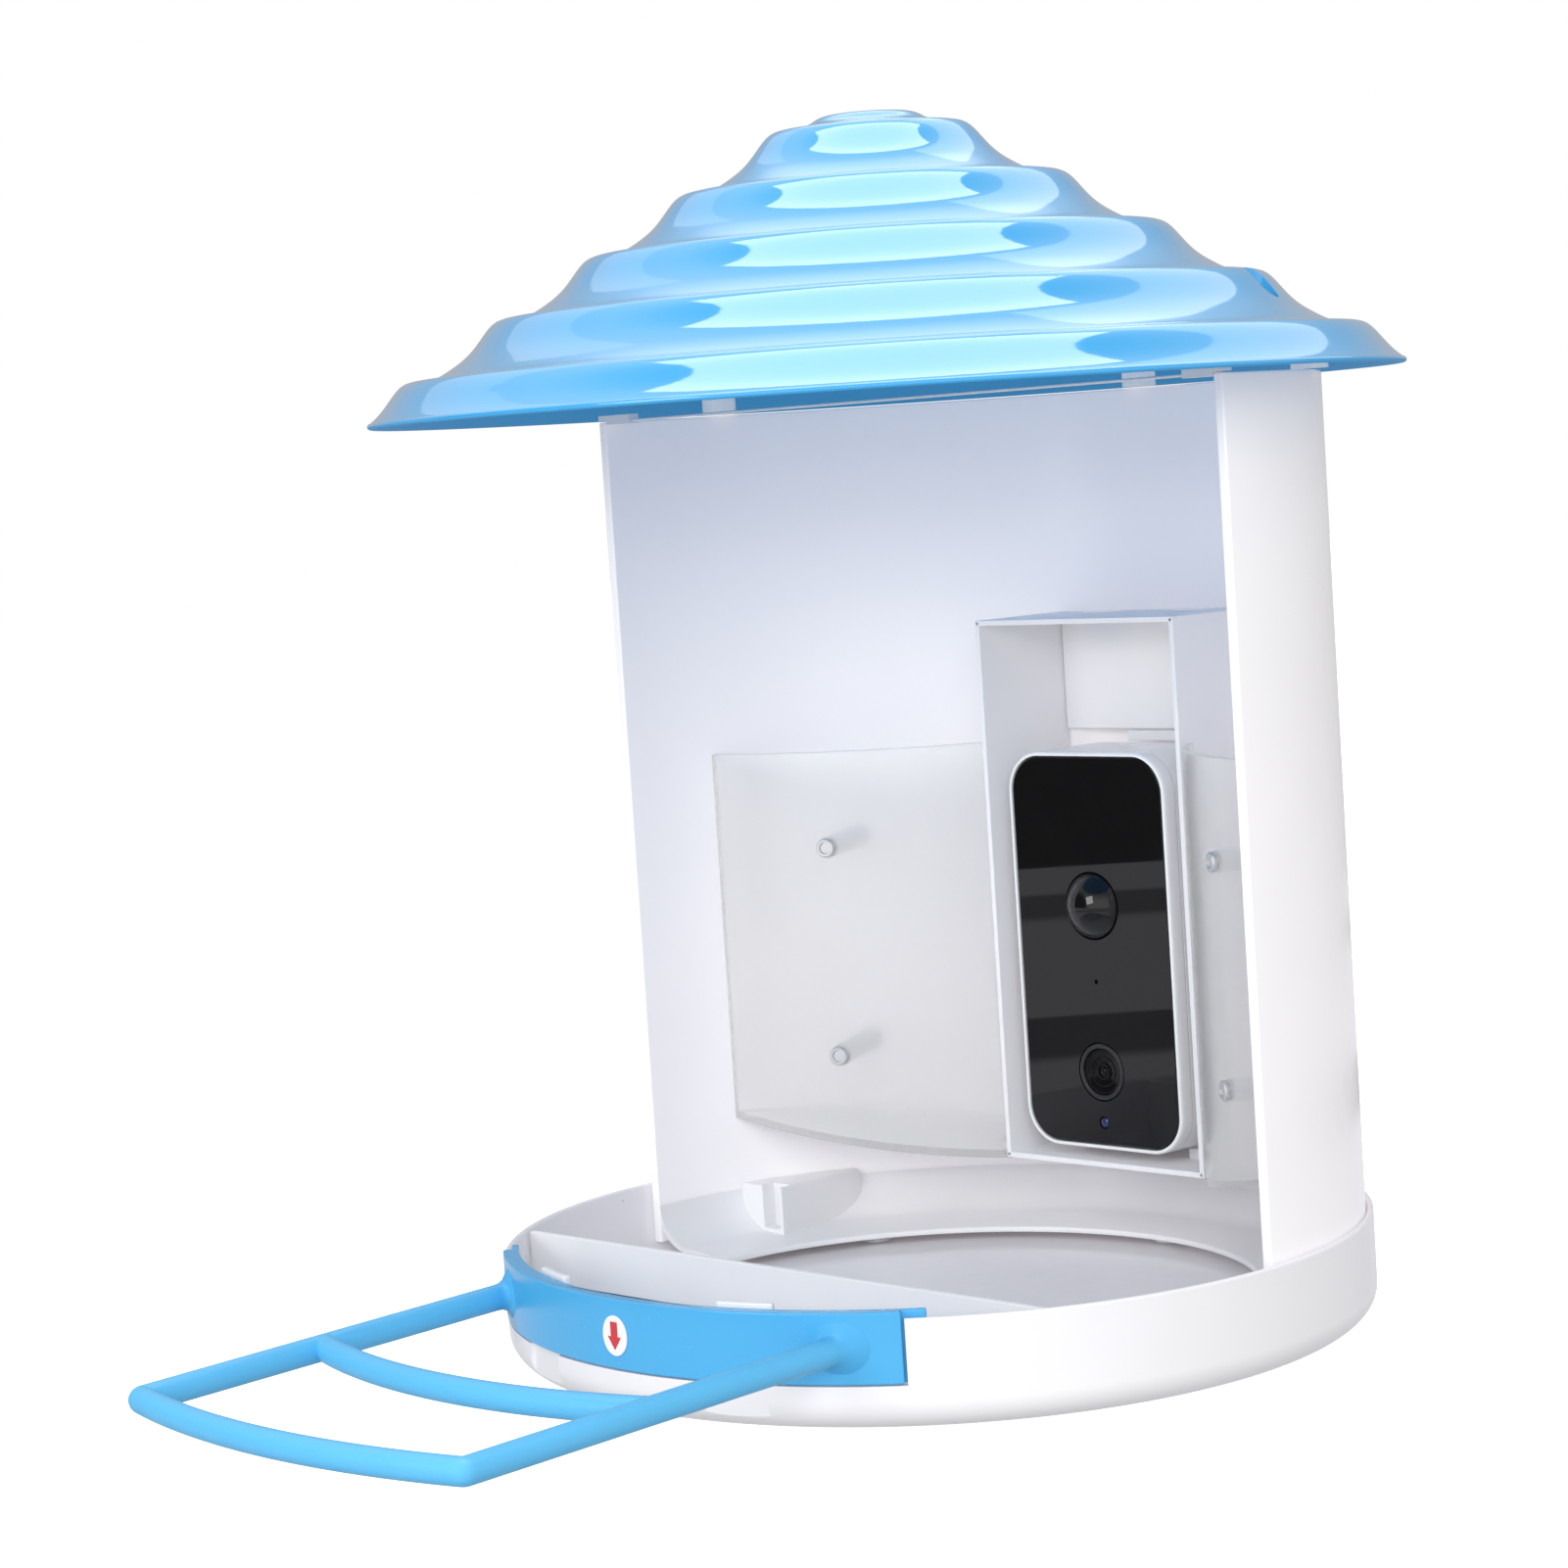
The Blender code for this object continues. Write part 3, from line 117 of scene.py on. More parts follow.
def finish_mesh(name, points, faces):
    """Put points and faces into an object, merge doubles (poles, seams) and turn faces outwards."""
    mesh = bpy.data.meshes.new(name)
    mesh.from_pydata(np.asarray(points, float).reshape(-1, 3).tolist(), [], faces)
    bm = bmesh.new()
    bm.from_mesh(mesh)
    bmesh.ops.remove_doubles(bm, verts=bm.verts, dist=HAIR)
    bmesh.ops.dissolve_degenerate(bm, edges=bm.edges, dist=HAIR)
    bmesh.ops.recalc_face_normals(bm, faces=bm.faces)
    bm.to_mesh(mesh)
    bm.free()
    return added(name, smoothed(mesh))


def end_faces(outline, rows):
    """Triangles that fill a grid's first and last row, a closed flat outline with its hollows;
    worked out in millimetres."""
    triangles = tessellate_polygon([[Vector((1000 * x, 1000 * y, 0)) for x, y in outline]])
    return [[row * len(outline) + corner for corner in triangle]
            for row in (0, rows - 1) for triangle in triangles]


def quads(rows, columns, wrap_rows, wrap_columns):
    """Faces of a grid: each joins a point to the next in its row and to the same in the next row."""
    row = np.arange(rows if wrap_rows else rows - 1)[:, None]
    column = np.arange(columns if wrap_columns else columns - 1)[None, :]
    below, beside = (row + 1) % rows, (column + 1) % columns
    corners = [row * columns + column, row * columns + beside, below * columns + beside,
               below * columns + column]
    return np.stack(np.broadcast_arrays(*corners), -1).reshape(-1, 4).tolist()


print("a grid of 3 x 4, wrapped one way, has", len(quads(3, 4, False, True)), "faces")

# %% [markdown]
# A moulded part has no knife edges. So each outline or profile first has its corners eased: a
# corner gives way to a short curve between a point just before it and a point just after it. An
# open line is closed by far points for this, which are dropped again afterwards.

# %% Rounded corners
MOST = 0.48


def unit(steps):
    """The same directions, each of length one."""
    return steps / np.linalg.norm(steps, axis=-1, keepdims=True)


def eased(points, reach, samples=6):
    """Round the corners of a closed outline.

    A corner P becomes (1-t)^2 S + 2t(1-t) P + t^2 E, where S and E lie `reach` before and after
    it, or at MOST of a side. A reach of zero leaves a corner alone; reach is one number or one for
    each corner.
    """
    corner = np.asarray(points, float)
    reach = np.broadcast_to(reach, len(corner))[:, None]
    start, end = (corner + way * np.minimum(reach / np.linalg.norm(way, axis=1, keepdims=True), MOST)
                  for way in (np.roll(corner, 1, 0) - corner, np.roll(corner, -1, 0) - corner))
    t = np.linspace(0, 1, samples)[None, :, None]
    curve = ((1 - t) ** 2 * start[:, None] + 2 * t * (1 - t) * corner[:, None]
             + t ** 2 * end[:, None]).reshape(-1, corner.shape[1])
    apart = np.linalg.norm(curve - np.roll(curve, 1, 0), axis=1) > HAIR
    return curve[apart]


def eased_at(points, corners, reach, samples=4):
    """Round only some corners of a closed outline, named by their place in it."""
    reaches = np.zeros(len(points))
    reaches[corners] = reach
    return eased(points, reaches, samples)


print("an eased square has", len(eased([(0, 0), (1, 0), (1, 1), (0, 1)], 0.2)), "points")

# %% Outlines
def arc(radius, start, end, steps, centre=(0, 0)):
    """Points at a radius from a centre: (x + r cos a, y + r sin a), a running from start to end."""
    angle = np.linspace(start, end, steps + 1)
    return np.stack([centre[0] + radius * np.cos(angle), centre[1] + radius * np.sin(angle)], -1)


def ring_part(outer, inner, start, end, steps, reach=0, samples=4):
    """Part of a flat ring, out along one arc and back along another; reach rounds its corners."""
    outline = np.concatenate([arc(outer, start, end, steps), arc(inner, end, start, steps)])
    corners = [0, steps, steps + 1, 2 * steps + 1]
    return eased_at(outline, corners, reach, samples) if reach else outline


def rectangle(left, right, low, high):
    """Four corners, counter-clockwise from the lower left."""
    return np.array([(left, low), (right, low), (right, high), (left, high)])


def inward(outline):
    """For each point of a closed outline, the step that moves both its sides inwards by one."""
    ahead = unit(np.roll(outline, -1, 0) - outline)
    x, y = outline.T
    turn = np.sign(np.sum(x * np.roll(y, -1) - np.roll(x, -1) * y))
    normal = turn * np.stack([-ahead[:, 1], ahead[:, 0]], -1)
    last = np.roll(normal, 1, 0)
    return (normal + last) / (1 + np.sum(normal * last, 1, keepdims=True))


print("a rectangle's corners move inwards by", inward(rectangle(0, 2, 0, 1)).tolist())

# %% Three forms
TURN = 2 * math.pi


def turned(name, profile, steps, sweep=TURN, closed=False):
    """Turn a profile of (radius, height) about Z: the point is (r cos a, r sin a, z)."""
    profile = np.asarray(profile, float)
    whole = sweep >= TURN
    angle = np.linspace(0, sweep, steps + (0 if whole else 1), endpoint=not whole)
    radius, height = profile.T
    grid = np.stack([radius * np.cos(angle)[:, None], radius * np.sin(angle)[:, None],
                     np.broadcast_to(height, (len(angle), len(height)))], -1)
    faces = quads(len(angle), len(profile), whole, closed)
    if not whole and closed:
        faces += end_faces(profile, len(angle))
    return finish_mesh(name, grid, faces)


def raised(name, outline, levels, upright=False, closed=False):
    """Carry an outline through levels of (height, inset): up from the plan, or upright, from the
    front view backwards. The ends are filled, unless the levels close into a wall's section."""
    outline = np.asarray(outline, float)
    height, inset = np.asarray(levels, float).T[..., None, None]
    flat = outline + inset * inward(outline)
    height = np.broadcast_to(height, flat[..., :1].shape)
    grid = np.concatenate([flat[..., :1], height, flat[..., 1:]] if upright else [flat, height], -1)
    faces = quads(len(levels), len(outline), closed, True)
    if not closed:
        faces += end_faces(outline, len(levels))
    return finish_mesh(name, grid, faces)


def rod_along(name, path, radius, sides=32):
    """A round rod: at each path point a ring p + r (cos a * side + sin a * up), square to the path."""
    path = np.asarray(path, float)
    along = unit(np.gradient(path, axis=0))
    side = unit(np.cross(along, (0, 0, 1.0)))
    up = np.cross(side, along)
    angle = np.linspace(0, TURN, sides, endpoint=False)[None, :, None]
    radius = np.broadcast_to(radius, len(path))[:, None, None]
    grid = path[:, None] + radius * (np.cos(angle) * side[:, None] + np.sin(angle) * up[:, None])
    faces = quads(len(path), sides, False, True)
    faces += [list(range(sides)), list(range((len(path) - 1) * sides, len(path) * sides))]
    return finish_mesh(name, grid, faces)


def edge_levels(low, high, ease, samples=5):
    """Levels from low to high whose two ends curve inwards by a quarter round of radius ease."""
    t = np.linspace(0, TURN / 4, samples)
    rise = np.stack([low + ease * (1 - np.cos(t)), ease * (1 - np.sin(t))], -1)
    fall = np.stack([high - ease * (1 - np.cos(t)), ease * (1 - np.sin(t))], -1)
    return np.concatenate([rise, fall[::-1]])


print("forms: turned, raised, rod_along")

# %% [markdown]
# Some pieces are changed once they are made. A cutter takes a hole or a slot out of them, which a
# Boolean does more simply than a gap in the grid. Others are bent or laid on their side by a rule
# that every point goes through.

# %% Tools for finished pieces
def pillar(name, radius, low, high, place=(0, 0), steps=48, upright=False):
    """A round cutter from low to high at a place in plan, or lying along Y if upright."""
    return raised(name, arc(radius, 0, TURN, steps, place)[:-1], [(low, 0), (high, 0)], upright)


def moved(piece, rule):
    """Send a finished piece's points (x, y, z), as three arrays, through a rule."""
    where = np.empty(len(piece.data.vertices) * 3)
    piece.data.vertices.foreach_get("co", where)
    piece.data.vertices.foreach_set("co", np.stack(rule(*where.reshape(-1, 3).T), -1).ravel())
    piece.data.update()
    return piece


def laid(piece, origin, along):
    """Lay a piece on its side at an origin: its Z goes along a direction (x, y), its Y goes up."""
    return moved(piece, lambda x, y, z: (origin[0] - along[1] * x + along[0] * z,
                                         origin[1] + along[0] * x + along[1] * z, origin[2] + y))


def cut(piece, *cutters, operation="DIFFERENCE"):
    """Take cutters away from a piece for good, and remove them."""
    for cutter in cutters:
        step = piece.modifiers.new("cut", "BOOLEAN")
        step.operation, step.solver, step.object = operation, "EXACT", cutter
    graph = bpy.context.evaluated_depsgraph_get()
    graph.update()
    mesh = bpy.data.meshes.new_from_object(piece.evaluated_get(graph))
    piece.modifiers.clear()
    piece.data = smoothed(mesh)
    for cutter in cutters:
        bpy.data.objects.remove(cutter, do_unlink=True)
    return piece


print("tools: pillar, moved, laid, cut")

# %% [markdown]
# ## Finishes as formulas
# A finish is a net of nodes. Wiring each by hand is long, so a socket is wrapped in a small
# class that knows the arithmetic signs, and one method makes every node. Then a formula for
# wear or grain reads as it would on paper.

# %% Sockets that add up
def joined(operation, swapped=False):
    """A method that makes a Math node of a wire and another value."""
    def method(wire, other):
        return wire.board.maths(operation, *((other, wire) if swapped else (wire, other)))
    return method


class Wire:
    """A socket with arithmetic: wire * 2 + 1 makes the Math nodes for it."""

    __add__ = __radd__ = joined("ADD")
    __mul__ = __rmul__ = joined("MULTIPLY")
    __sub__, __rsub__ = joined("SUBTRACT"), joined("SUBTRACT", swapped=True)

    def __init__(self, board, socket):
        self.board, self.socket = board, socket

    def between(self, low, high):
        """0 below low, 1 above high and an even S-curve between them."""
        return self.board.node("ShaderNodeMapRange", {"interpolation_type": "SMOOTHSTEP"},
                               {0: self, 1: low, 2: high, 3: 0, 4: 1})


print("a wire knows", ", ".join(sign for sign in vars(Wire) if sign[2:5] in ("add", "mul", "sub")))

# %% [markdown]
# The wires run on a board, which is the net of one material or of the world. It makes every node
# with one method and has short names for the kinds that are used most.

# %% The board
class Board:
    """The node net of a material or of the world."""

    def __init__(self, tree):
        self.tree = tree
        tree.nodes.clear()

    def join(self, value, socket):
        """Link a wire to a socket, or set a plain value on it."""
        if isinstance(value, Wire):
            self.tree.links.new(value.socket, socket)
        else:
            socket.default_value = value

    def node(self, kind, settings=None, inputs=None, output=0):
        """Add a node of a kind, with its settings and inputs, and give one of its outputs."""
        made = self.tree.nodes.new(kind)
        for key, value in (settings or {}).items():
            setattr(made, key, value)
        for key, value in (inputs or {}).items():
            self.join(value, made.inputs[key])
        return Wire(self, made.outputs[output]) if made.outputs else None

    def maths(self, operation, *values):
        """A Math node on wires or numbers."""
        return self.node("ShaderNodeMath", {"operation": operation}, dict(enumerate(values)))

    def blend(self, share, first, second):
        """A colour between two colours, by a share from 0 to 1."""
        return self.node("ShaderNodeMix", {"data_type": "RGBA"}, {0: share, 6: first, 7: second}, 2)

    def vector(self, operation, first, second=(0, 0, 0)):
        """A Vector Math node; lengths and dot products come out as numbers."""
        return self.node("ShaderNodeVectorMath", {"operation": operation}, {0: first, 1: second},
                         1 if operation in ("LENGTH", "DOT_PRODUCT") else 0)

    def place(self):
        """Object coordinates, in metres."""
        return self.node("ShaderNodeTexCoord", output="Object")

    def noise(self, scale, detail=2.0, roughness=0.5):
        """Soft noise from 0 to 1, with `scale` lumps to the metre."""
        return self.node("ShaderNodeTexNoise", {}, {"Vector": self.place(), "Scale": scale,
                                                    "Detail": detail, "Roughness": roughness})

    def skin(self, tint, gloss, height=0):
        """A surface's varied sockets: its colour, its roughness and a relief in metres."""
        relief = self.node("ShaderNodeBump", {}, {"Strength": 1.0, "Distance": 1.0, "Height": height})
        return {"Base Color": tint, "Roughness": gloss, "Normal": relief}


def finish_of(name, fixed, varied):
    """A material: fixed values go on the shader's own sockets, varied ones are made by a function."""
    material = bpy.data.materials.new(name)
    material.use_nodes = True
    board = Board(material.node_tree)
    shader = board.node("ShaderNodeBsdfPrincipled", {}, fixed)
    for socket, value in varied(board).items():
        board.join(value, shader.socket.node.inputs[socket])
    board.node("ShaderNodeOutputMaterial", {}, {"Surface": shader})
    return material


print("the board makes", ", ".join(name for name in vars(Board) if name[0] != "_"))

# %% [markdown]
# ## Moulded plastic
# White and blue shells come out of a polished mould. Up close such plastic isn't even: its
# colour drifts by a percent or two, it has the faint waviness of cooled polymer, and handling
# leaves patches that are less shiny. All three are noise, about 30 mm long for the drift and 6 mm
# for the wave and the rub. Matt parts have a grain of 1 mm too, and the white shells carry a few
# specks of dust.

# %% Plastic
DRIFT_LUMPS, WAVE_LUMPS, RUB_LUMPS, GRAIN_LUMPS, SPECK_CELLS, SPECK_PATCHES = 34, 150, 160, 900, 95, 31
DUST, UNDER_GLOSS = (0.16, 0.14, 0.13, 1), 0.55


def plastic(name, colour, gloss, wave=0.0, grain=0.0, grain_lumps=GRAIN_LUMPS, drift=0.03, rub=0.06,
            specks=0.0, coat=0.0, beside=None, extra=None):
    """Plastic: colour drift, rubbed gloss, a slow wave and a fine grain (depths in metres).

    coat is a clear gloss on the faces that look up, while those that look down turn matt. beside
    is a second colour and a function that gives its share from the board.
    """
    def varied(board):
        shade = board.noise(DRIFT_LUMPS, 3)
        pale = [min(1, channel * (1 + drift)) for channel in colour] + [1]
        deep = [channel * (1 - drift) for channel in colour] + [1]
        tint = board.blend(shade, deep, pale)
        if beside:
            tint = board.blend(beside[1](board), tint, (*beside[0], 1))
        if specks:
            cell = board.node("ShaderNodeTexVoronoi", {}, {"Vector": board.place(), "Scale": SPECK_CELLS})
            pick = board.noise(SPECK_PATCHES, 1).between(0.60, 0.63)
            dot = (1 - cell.between(0.012, 0.022)) * pick
            tint = board.blend(dot * specks, tint, DUST)
        height = board.noise(WAVE_LUMPS, 1) * wave if wave else 0
        if grain:
            height = board.noise(grain_lumps, 3, 0.6) * grain + height
        rubbed = (board.noise(RUB_LUMPS, 4, 0.6) - 0.35).between(0, 0.4)
        sockets = board.skin(tint, gloss + rub * rubbed, height)
        if coat:
            facing = board.node("ShaderNodeNewGeometry", output="True Normal")
            upper = board.vector("DOT_PRODUCT", facing, (0, 0, 1)).between(-0.3, 0.0)
            sockets["Coat Weight"] = coat * upper
            sockets["Roughness"] = sockets["Roughness"] * upper + UNDER_GLOSS * (1 - upper)
        return sockets
    return finish_of(name, {"IOR": 1.5, **(extra or {})}, varied)


print("colour drifts over", round(1000 / DRIFT_LUMPS), "mm, gloss over", round(1000 / RUB_LUMPS), "mm")

# %% [markdown]
# Light passes through thin plastic and comes out again. It could be worked out as scattering under
# the surface. Here it is painted light instead: a faint glow of the surface's own lifts the shade on
# the white shells, the roof and the frosted parts, costs no time and adds no grain to the picture.
# The glow on the white shells is tinted rosy, which offsets the blue light that the roof casts on
# them. The roof also has a clear coat, which is its polish.

# %% Whites and blues
def glow(strength, colour=(1, 1, 1)):
    """A surface's own faint light: on plastic, painted light that lifts its shade; on the floor, even
    white.
    """
    return {"Emission Color": (*colour, 1), "Emission Strength": strength}


WHITE, WHITE_BRIGHT = (0.865, 0.865, 0.885), (0.885, 0.885, 0.895)
ROOF_BLUE, BLUE, BLUE_MATT = (0.045, 0.350, 0.700), (0.068, 0.420, 0.780), (0.105, 0.500, 0.860)
ROSY, DULL = (1.0, 0.90, 0.93), "Specular IOR Level"
# The white shells, the tray and the housing glow faintly: painted light that lifts their shade, rosy
# (ROSY) to offset the blue light that the roof casts on them.
shell_white = plastic("shell_white", WHITE, 0.20, wave=0.00002, specks=0.8,
                      extra={**glow(0.15, ROSY), DULL: 0.25})
tray_white = plastic("tray_white", (0.830, 0.825, 0.850), 0.16, wave=0.00002, specks=0.8,
                     extra={**glow(0.04, ROSY), DULL: 0.3})
trim_white = plastic("trim_white", WHITE, 0.34, grain=0.000006)
box_white = plastic("box_white", WHITE, 0.42, grain=0.000008, extra={**glow(0.03, ROSY), DULL: 0.25})
camera_white = plastic("camera_white", WHITE_BRIGHT, 0.22, grain=0.000003)
wire_white = plastic("wire_white", WHITE_BRIGHT, 0.30, grain=0.000003)
# The roof's faint glow in its own blue is painted light that lifts its shade.
roof_blue = plastic("roof_blue", ROOF_BLUE, 0.06, wave=0.00003, drift=0.02, rub=0.03,
                    coat=0.9, extra={"Coat Roughness": 0.035, **glow(0.10, ROOF_BLUE)})
band_blue = plastic("band_blue", BLUE, 0.22, wave=0.00002, drift=0.02)
print(len(bpy.data.materials), "materials so far")

# %% [markdown]
# ## The roof
# The roof is one thin blue moulding with ring-shaped ripples, like a drop in water, and a small
# flat cap. It could be bent from a cone with a wave modifier, but its ripples lean, with a
# short steep face and a long flat one. So its height is written as a function of the radius and
# turned about the axis: a straight fall plus a cosine whose phase is pushed on by its own sine.
# The skin thins towards the rim, which shows as a sharp edge.

# %% Roof
ROOF_RADIUS, ROOF_SKIN, ROOF_TOP = 0.1055, 0.0019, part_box("roof_shell")[1].z
SLOPE_FOOT, SLOPE_FALL, SHOULDER = 0.19503, 0.590, 0.0180
RIPPLE_PITCH, RIPPLE_HEIGHT, RIPPLE_SKEW, RIPPLE_INSET = 0.01945, 0.0016, 0.55, 0.00755
CAP_FLAT, CAP_EDGE, CAP_DROP, UNDER_FLAT = 0.0096, 0.0128, 0.0021, 0.0090
CAP_ROUND, CAP_COVE = 0.0022, 0.0030
RIM_EDGE, RIM_THINS = 0.0012, 0.0120


def roof_height(radius):
    """Straight fall from the shoulder to the rim plus skewed ripples: h + a cos(p + k sin p)."""
    from_rim = ROOF_RADIUS - radius
    phase = TURN * (RIPPLE_INSET - from_rim) / RIPPLE_PITCH
    ripple = RIPPLE_HEIGHT * np.cos(phase + RIPPLE_SKEW * np.sin(phase))
    return SLOPE_FOOT + SLOPE_FALL * from_rim + ripple


cap = eased([(0, ROOF_TOP), (CAP_FLAT, ROOF_TOP), (CAP_EDGE, ROOF_TOP - CAP_DROP),
             (SHOULDER, roof_height(SHOULDER)), (0, 0)], (0, CAP_ROUND, CAP_COVE, 0, 0), 9)[:-1]
slope_radius = np.linspace(SHOULDER, ROOF_RADIUS - RIM_EDGE / 2, 118)[1:]
slope = np.stack([slope_radius, roof_height(slope_radius)], -1)
rim_turn = np.linspace(TURN * 0.20, -TURN * 0.25, 9)
rim_middle = slope[-1] - (0, RIM_EDGE / 2)
rim = rim_middle + RIM_EDGE / 2 * np.stack([np.cos(rim_turn), np.sin(rim_turn)], -1)
under_radius = np.linspace(ROOF_RADIUS - RIM_EDGE, SHOULDER, 72)
skin = RIM_EDGE + (ROOF_SKIN - RIM_EDGE) * np.clip((ROOF_RADIUS - under_radius) / RIM_THINS, 0, 1)
under = np.stack([under_radius, roof_height(under_radius) - skin], -1)
under_cap = [(CAP_EDGE, ROOF_TOP - CAP_DROP - ROOF_SKIN), (UNDER_FLAT, ROOF_TOP - ROOF_SKIN),
             (0, ROOF_TOP - ROOF_SKIN)]
profile = np.concatenate([cap, slope, rim, under, under_cap])
roof = turned("roof", profile, 240)
print("roof profile", len(profile), "points")

# %% [markdown]
# Two round holes of 7 mm go straight down through the roof, one on each side. They are cut with
# a Boolean, which is easier than leaving them out of the grid. Then the roof is finished, and so
# is each piece after it: it gets a material and a body to ride on, and the node that it stands for
# is hidden.

# %% Hanging holes
HOLE_RADIUS, HOLE_PLACE, HOLE_ANGLE = 0.0035, 0.0805, math.radians(22)
DRILL_FROM, DRILL_TO = 0.15, 0.26


def polar(radius, angle):
    """(x, y) from a radius and an angle."""
    return np.array([radius * math.cos(angle), radius * math.sin(angle)])


def dressed(piece, body, material, slot_name, *nodes):
    """Give a piece its finish and its body, and hide the nodes that it stands for. Big faces lead the
    shading of the small rounded edges beside them, so flat faces reflect like flat faces."""
    piece.data.materials.clear()
    piece.data.materials.append(material)
    shading = piece.modifiers.new("even shading", "WEIGHTED_NORMAL")
    shading.keep_sharp, shading.weight = True, 100
    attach(piece, body)
    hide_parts(*nodes)
    print(piece.name, "has", len(piece.data.polygons), "faces")


cut(roof, *[pillar("hole", HOLE_RADIUS, DRILL_FROM, DRILL_TO,
                   side * polar(HOLE_PLACE, HOLE_ANGLE)) for side in (-1, 1)])
dressed(roof, "roof", roof_blue, "roof_blue", "roof_shell")

# %% [markdown]
# ## The wall
# The wall is half of a round tube, open to the front, with square cut ends. It is a plan outline
# raised through levels, with its edges eased by about half a millimetre to catch the light.
# It fits into the tray, so the tray's rim is named first. GAP is the room left between parts.

# %% Wall
GAP, EDGE, CORNER = 0.0003, 0.0004, 0.0005
TRAY_RADIUS, TRAY_TOP, RIM_SKIN = 0.0900, 0.0219, 0.0013
TRAY_INNER = TRAY_RADIUS - RIM_SKIN
WALL_RADIUS, WALL_SKIN, WALL_FOOT, WALL_TOP = TRAY_INNER - GAP, 0.0022, 0.0085, 0.1923
WALL_INNER = WALL_RADIUS - WALL_SKIN
ROOM = WALL_INNER - GAP
wall = raised("wall", ring_part(WALL_RADIUS, WALL_INNER, 0, TURN / 2, 96, CORNER, 5),
              edge_levels(WALL_FOOT, WALL_TOP, EDGE))
dressed(wall, "feeder", shell_white, "shell_white", "wall_shell")

# %% [markdown]
# ## The tray
# The tray is turned. Its rim is thin and rounded, its lower edge is a big fillet, and on its
# underside a ring and a round foot stand 1.2 mm proud. A slot for the perch's band is cut in
# its front, and two flat pads are taken out of the fillet below it. FRONT is the open side's
# direction, and cutters go PAST the faces that they cut.

# %% Tray
FRONT, PAST = -TURN / 4, 0.004
TRAY_FLOOR, FLOOR_ROUND = 0.0035, 0.0050
SLOT_FOOT, SLOT_HALF, SLOT_DEPTH = 0.0093, math.radians(39.6), 0.0018
FILLET_ACROSS, FILLET_UP, FOOT_RING, FOOT_PROUD, FOOT_MIDDLE = 0.0076, 0.0064, 0.0045, 0.0012, 0.0120
PAD_PLACE, PAD_HALF, PAD_DEPTH = math.radians(17.8), 0.007, 0.0011
fillet = np.linspace(0, TURN / 4, 20)
outside = np.stack([TRAY_RADIUS - FILLET_ACROSS * (1 - np.cos(fillet)),
                    FILLET_UP * (1 - np.sin(fillet))], -1)
inside = arc(FLOOR_ROUND, FRONT, 0, 14, (TRAY_INNER - FLOOR_ROUND, TRAY_FLOOR + FLOOR_ROUND))
rim_round = arc(RIM_SKIN / 2, TURN / 2, 0, 10, (TRAY_RADIUS - RIM_SKIN / 2, TRAY_TOP - RIM_SKIN / 2))
ring_outer = TRAY_RADIUS - FILLET_ACROSS
ring_inner = ring_outer - FOOT_RING
foot = eased_at([(ring_outer, 0), (ring_inner, 0), (ring_inner, FOOT_PROUD), (FOOT_MIDDLE, FOOT_PROUD),
                 (FOOT_MIDDLE, 0), (0, 0), (0, -1), (ring_outer, -1)], [1, 2, 3, 4], EDGE)
foot = foot[foot[:, 1] > -0.5][1:]
tray = turned("tray", np.concatenate([[(0, TRAY_FLOOR)], inside, rim_round, outside, foot]), 240)
cutters = [raised("slot", ring_part(TRAY_RADIUS + PAST, TRAY_INNER - SLOT_DEPTH, FRONT - SLOT_HALF,
                                    FRONT + SLOT_HALF, 60), [(SLOT_FOOT, 0), (TRAY_TOP + PAST, 0)])]
for side in (-1, 1):
    out = polar(1, FRONT + side * PAD_PLACE)
    across = polar(PAD_HALF, FRONT + side * PAD_PLACE + TURN / 4)
    near, far = (TRAY_RADIUS - PAD_DEPTH) * out, (TRAY_RADIUS + PAST) * out
    cutters.append(raised("pad", [near - across, far - across, far + across, near + across],
                          [(-PAST, 0), (SLOT_FOOT, 0)]))
cut(tray, *cutters)
dressed(tray, "feeder", tray_white, "shell_white", "base_tray")

# %% [markdown]
# ## Flange, blocks and divider
# At the foot of the wall a coved half ring guides the seed inwards. Its lip stands a little above
# the tray's floor, which leaves the dark line seen in the photograph. Two small grooved blocks
# sit in its corners, and a thin upright plate divides the tray.

# %% Foot flange
LIP_RADIUS, LIP_TOP, FLANGE_SKIN, COVE = WALL_RADIUS - 0.0224, TRAY_FLOOR + 0.0032, 0.0013, 0.0090
cove_centre = (ROOM - COVE, LIP_TOP + COVE + FLANGE_SKIN)
cove_reach = math.acos(COVE / (COVE + FLANGE_SKIN))
steps = 14
section = np.concatenate([arc(COVE, 0, -TURN / 4, steps, cove_centre), [(LIP_RADIUS, LIP_TOP)],
                          [(LIP_RADIUS, LIP_TOP - FLANGE_SKIN)],
                          arc(COVE + FLANGE_SKIN, -TURN / 4, -cove_reach, steps, cove_centre)])
flange = turned("flange", eased_at(section, [steps + 1, steps + 2], CORNER), 120, TURN / 2, closed=True)
dressed(flange, "feeder", trim_white, "trim_white", "foot_flange")

